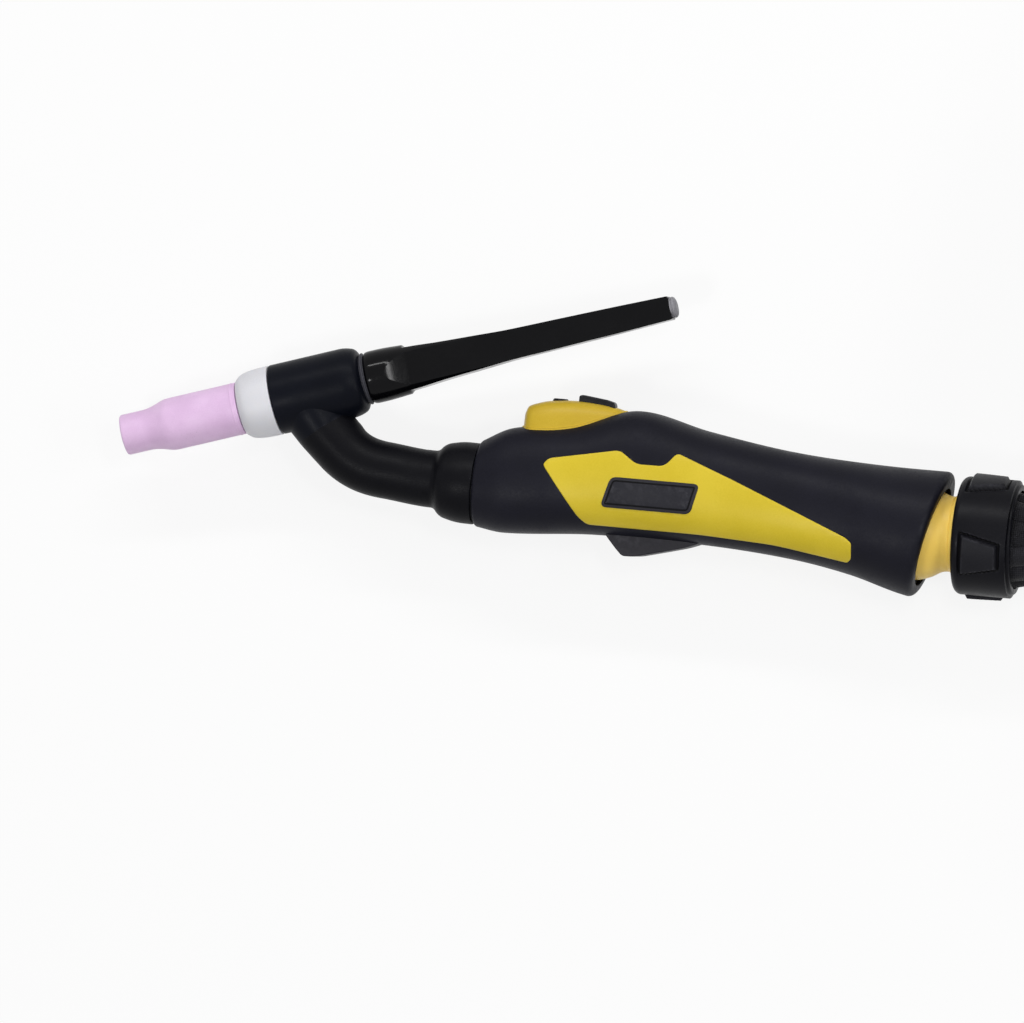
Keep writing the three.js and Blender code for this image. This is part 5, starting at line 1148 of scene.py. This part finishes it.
def make_back_cap():
    stations = span(0, 0.8, 4) + span(1.2, 15.2, 22) + span(15.5, 17.0, 7) + span(18.0, 122.7, 93)
    rings = [[(x, y * 0.2, z * 0.2) for x, y, z in cap_ring(0.0, 0.0)]]
    rings += [cap_ring(x, smooth(x, 15.4, 16.9)) for x in stations]
    for x, size in ((123.2, 0.985), (123.5, 0.93), (123.5, 0.2)):
        rings.append([(x, y * size, z * size) for _, y, z in cap_ring(122.7, 1.0)])
    cap = piece("long_back_cap", *skin(rings), CAP_PLACE, crease=16)
    thread = rounded([(-12.7, 0, 0), (-12.7, 5.7, 0.5), (0.4, 5.7, 0), (0.4, 0, 0)])
    combined(cap, turned("thread", thread, CAP_PLACE, 64), "UNION", crease=16)
    cut(cap, rod(-14, 107.8, 2.2, CAP_PLACE, 32), crease=16)
    return finished(cap, GLOSS_BLACK, "gloss_black", "back_cap", ["back_cap"])


def make_cap_end():
    turned_piece("cap_end_plug", [
        (123.4, 0, 0), (123.4, 4.2, 0), (123.9, 4.2, 0.1), (124.0, 3.95, 0.1), (124.25, 3.95, 0.1),
        (124.35, 4.25, 0.15), (125.2, 4.1, 0.7), (125.9, 2.9, 0.8), (126.0, 0, 0)],
        CAP_PLACE, 64, (CAP_END_GREY, "seal_grey", "back_cap"), steps=6)


make_nozzle()
make_insulator()
make_head_cover()
make_seal()
make_back_cap()
make_cap_end()


# ---- handle: a smooth grip whose rear rim leans back ----

LEAN_START = 140
RIM_X = 182.5
RIM_ANGLE = 13.5
RIM_SLOPE = math.tan(math.radians(RIM_ANGLE))
RIM_ROUNDING = 2.8
FRONT_ROUNDING = 1.3
BALL_X, BALL_Y = 174.5, -3.0
RIM_PLACE = heading_place(BALL_X, BALL_Y, -RIM_ANGLE)
BALL_PLACE = heading_place(BALL_X, BALL_Y, 0)
BALL_RADIUS = 19.2
MOUTH_RADIUS = 21.4
SKIN_CLEAR = 0.985
HANDLE_TOP = curve_through([[0, 17.2], [12, 23.4], [38, 27.4], [62, 34.4], [90, 28.8], [123.5, 23.7],
                            [158.5, 21.5], [194.5, 21.2]])
HANDLE_BOTTOM = curve_through([[0, -16.2], [12, -17.8], [48, -15.5], [92, -15.8], [126.5, -18.3],
                               [150.5, -22.4], [171.5, -28.2], [194.5, -32.0]])
HANDLE_WIDTH = curve_through([[0, 16.0], [14, 19.0], [70, 20.8], [115, 19.4], [143.5, 20.6], [166.5, 23.8],
                              [182.5, 24.8], [194.5, 25.0]])
HANDLE_SQUARENESS = curve_through([[0, 2.0], [20, 2.35], [120, 2.4], [168.5, 2.1], [194.5, 2.0]])
WALL = 3.0
SPLIT = 0.15


def powered(value, power):
    """A power that keeps the sign of its value."""
    return math.copysign(abs(value) ** power, value)


def handle_ring(station, inset, sides=144):
    """A ring of the handle's skin; near the rear it leans with the rim's plane."""
    lean = RIM_SLOPE * smooth(station, LEAN_START, RIM_X)
    ring = []
    for j in range(sides):
        angle = math.tau * j / sides
        x = station
        for _ in range(6):
            top, bottom, power = HANDLE_TOP(x), HANDLE_BOTTOM(x), 2 / HANDLE_SQUARENESS(x)
            y = (top + bottom) / 2 + ((top - bottom) / 2 - inset) * powered(math.sin(angle), power)
            x = station + (y - BALL_Y) * lean
        ring.append((x, y, (HANDLE_WIDTH(x) - inset) * powered(math.cos(angle), power)))
    return ring


def skin_half_width(x, y):
    """How far the handle's skin stands from its mid-plane at a point of its side."""
    top, bottom, power = HANDLE_TOP(x), HANDLE_BOTTOM(x), HANDLE_SQUARENESS(x)
    share = min(abs(y - (top + bottom) / 2) / ((top - bottom) / 2), SKIN_CLEAR)
    return HANDLE_WIDTH(x) * (1 - share ** power) ** (1 / power)


def quarter_round(share, depth):
    """How far a face has drawn in at a share of its rounding."""
    share = min(max(share, 0.0), 1.0)
    return depth * (1 - math.sqrt(1 - share * share))


def handle_body(name, grow=0.0):
    """The handle's whole skin, or one that stands out from it by a growth."""
    rings = []
    for share in span(0, 1, 6):
        inset = quarter_round(1 - share, FRONT_ROUNDING)
        rings.append(handle_ring(FRONT_ROUNDING * share, inset - grow))
    for station in span(2.2, RIM_X - RIM_ROUNDING - 1.0, 104):
        rings.append(handle_ring(station, -grow))
    for share in span(0, 1, 9):
        turn = math.pi / 2 * share
        inset = RIM_ROUNDING * (1 - math.cos(turn))
        rings.append(handle_ring(RIM_X - RIM_ROUNDING * (1 - math.sin(turn)), inset - grow))
    return piece(name, *skin(rings), crease=40)


def side_panel(name, outline, levels, side, step=2.4):
    """A panel that follows the handle's side, by (inset, height over the skin) levels from floor to face."""
    solid = bmesh.new()
    rings = []
    for inset, height in levels:
        line = drawn_in(outline, inset) if inset else outline
        rings.append([solid.verts.new((x, y, height)) for x, y in line])
    count = len(outline)
    for low, high in zip(rings, rings[1:]):
        for j in range(count):
            solid.faces.new((low[j], low[(j + 1) % count], high[(j + 1) % count], high[j]))
    solid.faces.new(list(reversed(rings[0])))
    solid.faces.new(rings[-1])
    xs = [x for x, _ in outline]
    ys = [y for _, y in outline]
    for low, high, normal in ((min(xs), max(xs), Vector((1, 0, 0))), (min(ys), max(ys), Vector((0, 1, 0)))):
        for k in range(1, math.ceil((high - low) / step)):
            geometry = solid.verts[:] + solid.edges[:] + solid.faces[:]
            bmesh.ops.bisect_plane(solid, geom=geometry, plane_co=normal * (low + step * k),
                                   plane_no=normal, dist=1e-5)
    points = [(v.co.x, v.co.y, side * (skin_half_width(v.co.x, v.co.y) + v.co.z)) for v in solid.verts]
    solid.verts.index_update()
    faces = [tuple(v.index for v in face.verts) for face in solid.faces]
    solid.free()
    return piece(name, points, faces, crease=28)


INLAY_OUTLINE = evenly(rounded([
    (28.4, 10.2, 1.2), (30.4, 12.9, 1.6), (58.5, 18.4, 2.2), (65.6, 13.5, 2.4), (76.8, 13.6, 2.6),
    (81.2, 19.2, 1.8), (104, 10.6, 3.0), (150.5, -8.0, 1.2), (153.2, -10, 1.2), (153.0, -16.2, 0.9),
    (151.3, -17.8, 0.9), (122, -13.4, 6.0), (92.5, -11.9, 4.0), (47.0, -11.7, 1.5), (43.6, -9.2, 2.0)],
    looped=True, steps=6), 2.2)
PLATE_OUTLINE = evenly(rounded([(52.4, -4.4, 2.6), (56.0, 7.8, 2.6), (91.4, 7.8, 2.6), (88.3, -4.4, 2.6)],
                               looped=True, steps=8), 2.0)
SCREW_PLACES = [(19, -10), (19, 12.5), (117, 11.6), (145.5, 13.5)]


def fine_bevel(width, top):
    """Levels of a rounded edge that ends at a panel's face."""
    turns = [math.pi / 2 * k / BEVEL_STEPS for k in range(BEVEL_STEPS + 1)]
    return [(width * (1 - math.cos(turn)), top - width * (1 - math.sin(turn))) for turn in turns]


def make_inlay(side, hand):
    inlay = side_panel(f"inlay_panel_{hand}", INLAY_OUTLINE, [(0, -1.3)] + fine_bevel(0.45, 0.5), side)
    pocket = side_panel("pocket", drawn_in(PLATE_OUTLINE, -0.2), [(0, 0.05), (0, 2.0)], side)
    cut(inlay, pocket, crease=28)
    return finished(inlay, INLAY_YELLOW, "yellow", "handle", [f"side_inlay_{hand}"])


def make_plate(side, hand):
    """The badge plate stays bare: a raised frame, a fine groove in painted shade and a flat panel."""
    levels = [(0, 0.08)] + fine_bevel(0.25, 0.8) + [(1.15, 0.8), (1.3, 0.45), (1.75, 0.45), (1.9, 0.72)]
    plate = side_panel(f"badge_panel_{hand}", PLATE_OUTLINE, levels, side, step=3.0)
    finished(plate, [PLATE_CHARCOAL, GROOVE_PAINTED_SHADE, STOP_CHARCOAL], "charcoal", "handle",
             [f"badge_plate_{hand}"])
    inner = drawn_in(PLATE_OUTLINE, 1.15)
    panel = drawn_in(PLATE_OUTLINE, 1.82)
    for face in plate.data.polygons:
        place = TO_FRAME.inverted() @ face.center
        outer = 1 if inside(inner, place.x, place.y) else 2
        # The groove's faces take the near-black finish, which is painted shade; the panel and the frame take
        # the charcoal finishes.
        face.material_index = 0 if inside(panel, place.x, place.y) else outer


def inside(outline, x, y):
    """Whether a point lies within a closed outline."""
    within = False
    for k, (x1, y1) in enumerate(outline):
        x0, y0 = outline[k - 1]
        if (y0 > y) != (y1 > y) and x < x0 + (x1 - x0) * (y - y0) / (y1 - y0):
            within = not within
    return within


# ---- switch housing, its button and key ----

HOUSING_CREST = curve_through([[16.8, 31.8], [18, 32.7], [20.6, 33.8], [26, 35.3], [36, 36.2], [48, 35.6],
                               [55, 34.2], [59, 32.2]])
HOUSING_WIDTH = curve_through([[16.8, 4.6], [18, 7.0], [21, 8.9], [30, 10.0], [42, 9.2], [52, 7.2],
                               [56, 5.6], [59, 3.4]])
HOUSING_START, HOUSING_END = 16.8, 59.0
HOUSING_FLOOR = 19.5
HOUSING_SIDES, HOUSING_SQUARENESS = 48, 3.4
BUTTON_PLACE = heading_place(30.0, 0, 90)


def housing_body(name, grow=0.0, low=HOUSING_FLOOR, start=HOUSING_START, end=HOUSING_END):
    """The housing's rounded body, or one drawn in by a wall when grow is negative."""
    rings = []
    stations = span(start - grow, start + 1.4, 7) + span(start + 2.2, end - 3.0, 52)
    stations += span(end - 2.4, end + grow, 7)
    for x in stations:
        rise = smooth(x, start - grow - 0.01, start + 1.6) ** 0.5
        width = (HOUSING_WIDTH(x) + grow) * (0.8 + 0.2 * rise)
        top = HOUSING_CREST(x) + grow - 1.6 * (1 - rise)
        ring = []
        for j in range(HOUSING_SIDES + 1):
            angle = math.pi * j / HOUSING_SIDES
            ring.append((x, low + (top - low) * powered(math.sin(angle), 2 / HOUSING_SQUARENESS),
                         width * powered(math.cos(angle), 2 / HOUSING_SQUARENESS)))
        rings.append(ring)
    return piece(name, *skin(rings), crease=40)


def make_housing():
    housing = housing_body("switch_housing_body")
    skirt = housing_body("skirt", grow=0.5)
    combined(skirt, handle_body("grown", grow=0.5), "INTERSECT")
    combined(housing, skirt, "UNION")
    cut(housing, housing_body("pocket", grow=-1.8, low=18.0, start=18.6, end=57.2))
    key_hole = block((37.25, 20, -3.55), (52.55, 45, 3.55))
    bevelled(key_hole, 1.0, crease=60)
    cut(housing, rod(20, 40, 3.55, BUTTON_PLACE, 64), key_hole, crease=35)
    return finished(housing, HOUSING_YELLOW, "yellow", "handle", ["switch_housing"])


def make_button():
    turned_piece("front_button_crown", [
        (26.2, 0, 0), (26.2, 3.2, 0.3), (35.9, 3.2, 0.7), (36.7, 2.5, 0.5), (36.25, 1.7, 0.5), (36.2, 0, 0)],
        BUTTON_PLACE, 96, (KEY_BLACK, "gloss_black", "front_button", ["front_button"]), steps=6, crease=40)


def make_key():
    """A rocker key: a block with a flat top and a steeper facet at its rear."""
    side = rounded([(37.6, 28.0, 0), (37.6, 38.3, 1.0), (38.8, 38.8, 0.8), (48.6, 37.6, 0.6),
                    (51.6, 36.8, 1.2), (52.2, 35.6, 0.8), (52.2, 28.0, 0)])
    key = prism("rear_key_block", side, 3.2)
    bevelled(key, 0.55, angle=50)
    return finished(key, KEY_BLACK, "gloss_black", "rear_key", ["rear_key"])


# ---- finger stop, shells, screws ----

def make_finger_stop():
    outline = rounded([(51.6, -12, 0), (53.6, -15.5, 0.6), (57.7, -20.1, 0.8), (60.6, -22.9, 1.3),
                       (67.0, -22.3, 1.2), (76.4, -19.9, 4.0), (86.1, -17.3, 4.0), (92.5, -14.6, 2.0),
                       (92.5, -12, 0)], steps=6)
    stop = prism("finger_stop_fin", outline, 6.5)
    bevelled(stop, 0.5, angle=50)
    cut(stop, handle_body("skin", grow=0.12))
    return finished(stop, STOP_CHARCOAL, "charcoal", "handle", ["finger_stop"])


def socket_profile():
    """The mouth that holds the ball's liner: a sphere, a lip that closes on the ball and a funnel."""
    sphere = [(-MOUTH_RADIUS * math.cos(a), MOUTH_RADIUS * math.sin(a), 0) for a in span(0.1, 1.84, 26)]
    funnel = [(6.6, 20.36, 0), (7.9, 19.9, 1.3), (8.0, 21.6, 0), (14, 23.0, 0), (14, 0, 0)]
    return rounded([(-MOUTH_RADIUS, 0, 0)] + sphere + funnel, steps=6)


def screw_recess(x, y):
    """A screw's counterbore, along Z from outside the right shell."""
    face = skin_half_width(x, y)
    profile = rounded([(face - 4.0, 0, 0), (face - 4.0, 3.1, 0.2), (face - 0.2, 3.1, 0.6),
                       (face + 3.0, 4.2, 0), (face + 3.0, 0, 0)])
    place = heading_place(x, y, 0) @ Matrix.Rotation(math.pi / 2, 4, "Y")
    return turned("screw_recess", profile, place, 48)


def make_shells():
    shell = handle_body("handle_shell_right_half")
    hollow = [handle_ring(station, WALL, 96) for station in span(3, 159.5, 70)]
    tools = [piece("cavity", *skin(hollow)), turned("mouth", socket_profile(), RIM_PLACE, 144),
             rod(-2, 5, 7.3, FRONT_PLACE, 64), housing_body("hole", grow=0.25, low=10.0)]
    recess = drawn_in(INLAY_OUTLINE, -0.3)
    tools += [side_panel("recess", recess, [(0, -1.6), (0, 4.0)], side) for side in (1, -1)]
    tools += [screw_recess(x, y) for x, y in SCREW_PLACES]
    cut(shell, *tools, crease=35)
    other = placed("handle_shell_left_half", shell.data.copy())
    combined(shell, block((-20, -90, -60), (220, 90, -SPLIT)), "INTERSECT", crease=35)
    combined(other, block((-20, -90, SPLIT), (220, 90, 60)), "INTERSECT", crease=35)
    finished(shell, GRIP_BLACK, "grip_black", "handle", ["handle_shell_right"])
    finished(other, GRIP_BLACK, "grip_black", "handle", ["handle_shell_left"])


def make_screws():
    places = [TO_FRAME @ Vector((x, y, -skin_half_width(x, y) + 3.0)) for x, y in SCREW_PLACES]
    screws = by_nodes(points_only("shell_screw_set", places), screw_tree(), Head_Radius=0.0028,
                      Head_Height=0.0018, Edge=0.0005, Socket_Radius=0.0013, Shaft_Radius=0.0013,
                      Shaft_Length=0.008, Finish=GROUND_STEEL)
    return finished(screws, GROUND_STEEL, "steel", "handle", [f"shell_screw_{k}" for k in range(1, 5)])


for side, hand in ((1, "left"), (-1, "right")):
    make_inlay(side, hand)
    make_plate(side, hand)
make_housing()
make_button()
make_key()
make_finger_stop()
make_shells()
make_screws()


# ---- ball joint, cable collar and the gathered cover ----

BALL_FRONT = -13.0
LINER_OUTER, LINER_INNER = 20.9, 19.7
LINER_REAR, LINER_FRONT = 5.8, -14


def make_ball():
    arc = [(-BALL_RADIUS * math.cos(a), BALL_RADIUS * math.sin(a), 0)
           for a in span(math.acos(-BALL_FRONT / BALL_RADIUS), 2.18, 40)]
    # The ball's finish carries painted light: a yellow set brighter to make up for the rim's shade.
    turned_piece("ball_joint_ball", arc + [
        (12.6, 15.0, 1.6), (15.4, 14.7, 0.9), (16.1, 15.6, 0.5), (17.5, 15.9, 0.4), (17.5, 9.5, 0.2),
        (BALL_FRONT, 9.5, 0)],
        BALL_PLACE, 144, (BALL_YELLOW_PAINTED_LIGHT, "yellow", "ball", ["joint_ball"]), looped=True, crease=40)


def liner_arc(radius, start, end):
    turns = span(math.asin(start / radius), math.asin(end / radius), 30)
    return [(radius * math.sin(t), radius * math.cos(t)) for t in turns]


def make_liner():
    profile = liner_arc(LINER_OUTER, LINER_REAR, LINER_FRONT)
    profile += liner_arc(LINER_INNER, LINER_FRONT, LINER_REAR)
    liner = turned("socket_liner_ring", profile, RIM_PLACE, 144, bored=True, crease=50)
    return finished(liner, HOSE_RUBBER, "hose_rubber", "handle", ["socket_liner"])


COLLAR_PLACE = BALL_PLACE @ along_x(17.8)
COLLAR_RADIUS = 23.2
COLLAR_SIDES = 336
GRIP_TURN = 20.0
GRIP_START, GRIP_LENGTH = 4.2, 14.6
GRIP_FRONT, GRIP_REAR = 20.5, 12.0


def collar_radius(x):
    """The cable collar's radius without its grips: a rounded front, a straight barrel and a rear step."""
    front = quarter_round(1 - x / 3.0, 2.8) if x < 3.0 else 0.0
    rear = 1.5 * smooth(x, 22.0, 22.5)
    lip = quarter_round((x - 22.8) / 0.8, 0.7) if x > 22.8 else 0.0
    return COLLAR_RADIUS - front - rear - lip


def grip_relief(x, turn):
    """The four grips' height and the groove round each, which the collar paints near-black as shade: a pad
    that narrows to the rear.
    """
    angle = (math.degrees(turn) - GRIP_TURN + 45) % 90 - 45
    share = min(max((x - GRIP_START) / GRIP_LENGTH, 0.0), 1.0)
    half = GRIP_FRONT + (GRIP_REAR - GRIP_FRONT) * share
    across = (half - abs(angle)) * math.radians(1) * 23.3
    edge = min(across, x - GRIP_START, GRIP_START + GRIP_LENGTH - x)
    pad = 1.5 * smooth(edge, -0.1, 0.9)
    groove = -0.75 * smooth(edge, -1.15, -0.55) * (1 - smooth(edge, -0.45, 0.0))
    return pad + groove, edge


def make_cable_collar():
    rings = []
    for x in span(0, 3.0, 12) + span(3.4, 21.5, 52) + span(21.8, 22.6, 8) + span(22.9, 23.6, 7):
        ring = []
        for k in range(COLLAR_SIDES):
            turn = math.tau * k / COLLAR_SIDES
            size = collar_radius(x) + grip_relief(x, turn)[0]
            ring.append((x, size * math.cos(turn), size * math.sin(turn)))
        rings.append(ring)
    for x, size in ((23.6, 19.4), (19.5, 19.2), (19.5, 15.5), (0.0, 15.5)):
        rings.append(circle(x, size, COLLAR_SIDES))
    collar = piece("cable_collar_grip", *skin(rings, joined=True), COLLAR_PLACE, crease=30)
    finished(collar, [COLLAR_CHARCOAL, PAD_CHARCOAL, GROOVE_PAINTED_SHADE], "charcoal", "cable", ["cable_collar"])
    home = (TO_FRAME @ COLLAR_PLACE).inverted()
    for face in collar.data.polygons:
        place = home @ face.center
        if place.x < 20 and math.hypot(place.y, place.z) > 20:
            edge = grip_relief(place.x, math.atan2(place.z, place.y))[1]
            # Faces on a grip take the pad finish, and those in the groove round it the near-black finish of
            # painted shade.
            face.material_index = 1 if edge > 0.1 else (2 if -1.0 < edge < -0.2 else 0)


PLEATS = 11
PLEAT_DEPTH = 2.5
GATHER_SIDES, GATHER_STEPS = 264, 65
GATHER_START, GATHER_LENGTH = 214.3, 31.0
GATHER_FRONT, GATHER_REAR = 18.6, 10.15


def make_gather():
    """The textile cover, drawn together in pleats where the collar grips it."""
    rings = []
    lengths = [0.0]
    for k in range(GATHER_STEPS + 1):
        share = k / GATHER_STEPS
        body = GATHER_FRONT + (GATHER_REAR - GATHER_FRONT) * (0.35 * share + 0.65 * smooth(share))
        deep = PLEAT_DEPTH * (1 - share) ** 0.8 * smooth(share, -0.1, 0.12)
        ring = []
        for j in range(GATHER_SIDES):
            turn = math.tau * j / GATHER_SIDES
            sway = 0.22 * math.sin(3 * turn + 2.0 * share) + 0.5 * share
            fold = abs(math.sin((PLEATS * turn + sway * 2) / 2))
            small = 0.12 * math.sin(23 * turn + 9 * share) * (1 - share)
            size = body + deep * (fold ** 0.6 - 0.8) + small * (1 - share)
            ring.append((GATHER_START + GATHER_LENGTH * share, BALL_Y + size * math.cos(turn),
                         0.249 * smooth(share) + size * math.sin(turn)))
        rings.append(ring)
        if k:
            lengths.append(lengths[-1] + GATHER_LENGTH / GATHER_STEPS)
    gather = piece("gathered_cover", *skin(rings), crease=70)
    mapped(gather, GATHER_SIDES, lengths)
    return finished(gather, GATHER_TEXTILE, "textile", "cable", ["cover_gather"])


make_ball()
make_liner()
make_cable_collar()
make_gather()


# ---- hoses and lead inside ----

LEAD_RADIUS = 1.75
LEAD_POINTS = [(56.8, 17.4, 0), (61, 17.2, 0), (67, 17.3, 0), (84, 17.9, 0), (112.5, 17.9, 0),
               (128.5, 17.8, 0)]


def make_hoses():
    turned_piece("inner_hose", [
        (10.3, 5.0, 0.3), (10.3, 6.2, 0.5), (18, 6.2, 0), (80, 6.2, 0), (150, 6.2, 0.5), (150, 5.0, 0.3)],
        heading_place(0, AXIS_Y, 0), 48, (HOSE_RUBBER, "hose_rubber", "handle", ["gas_power_hose"]),
        looped=True)
    turned_piece("hose_through_ball", [
        (-19.0, 0, 0), (-19.0, 5.0, 0.6), (20.0, 5.0, 0), (47.5, 5.0, 0.6), (47.5, 0, 0)],
        BALL_PLACE, 48, (HOSE_RUBBER, "hose_rubber", "cable", ["swivel_hose"]))


def make_control_lead():
    lead = tube_along("button_lead", eased(LEAD_POINTS, 4), LEAD_RADIUS)
    return finished(lead, HOSE_RUBBER, "hose_rubber", "handle", ["control_lead"])


make_hoses()
make_control_lead()


# ---- finishes of the solids that are shown as they are ----

CARRIED = {
    "head_core": TURNED_BRASS, "collet_body": TURNED_BRASS, "collet": DRAWN_COPPER,
    "tungsten_electrode": GROUND_STEEL, "neck_adaptor": TURNED_BRASS, "hose_clamp": GROUND_STEEL,
    "switch_board": BOARD, "microswitch_front": KEY_BLACK, "microswitch_rear": KEY_BLACK,
    "coil_tie_1": STOP_CHARCOAL, "coil_tie_2": STOP_CHARCOAL,
    **{f"neck_tube_{k}": DRAWN_COPPER for k in range(1, NECK_COVERS + 1)},
}
for name, material in CARRIED.items():
    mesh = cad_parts[name].data
    mesh.materials.clear()
    mesh.materials.append(material)
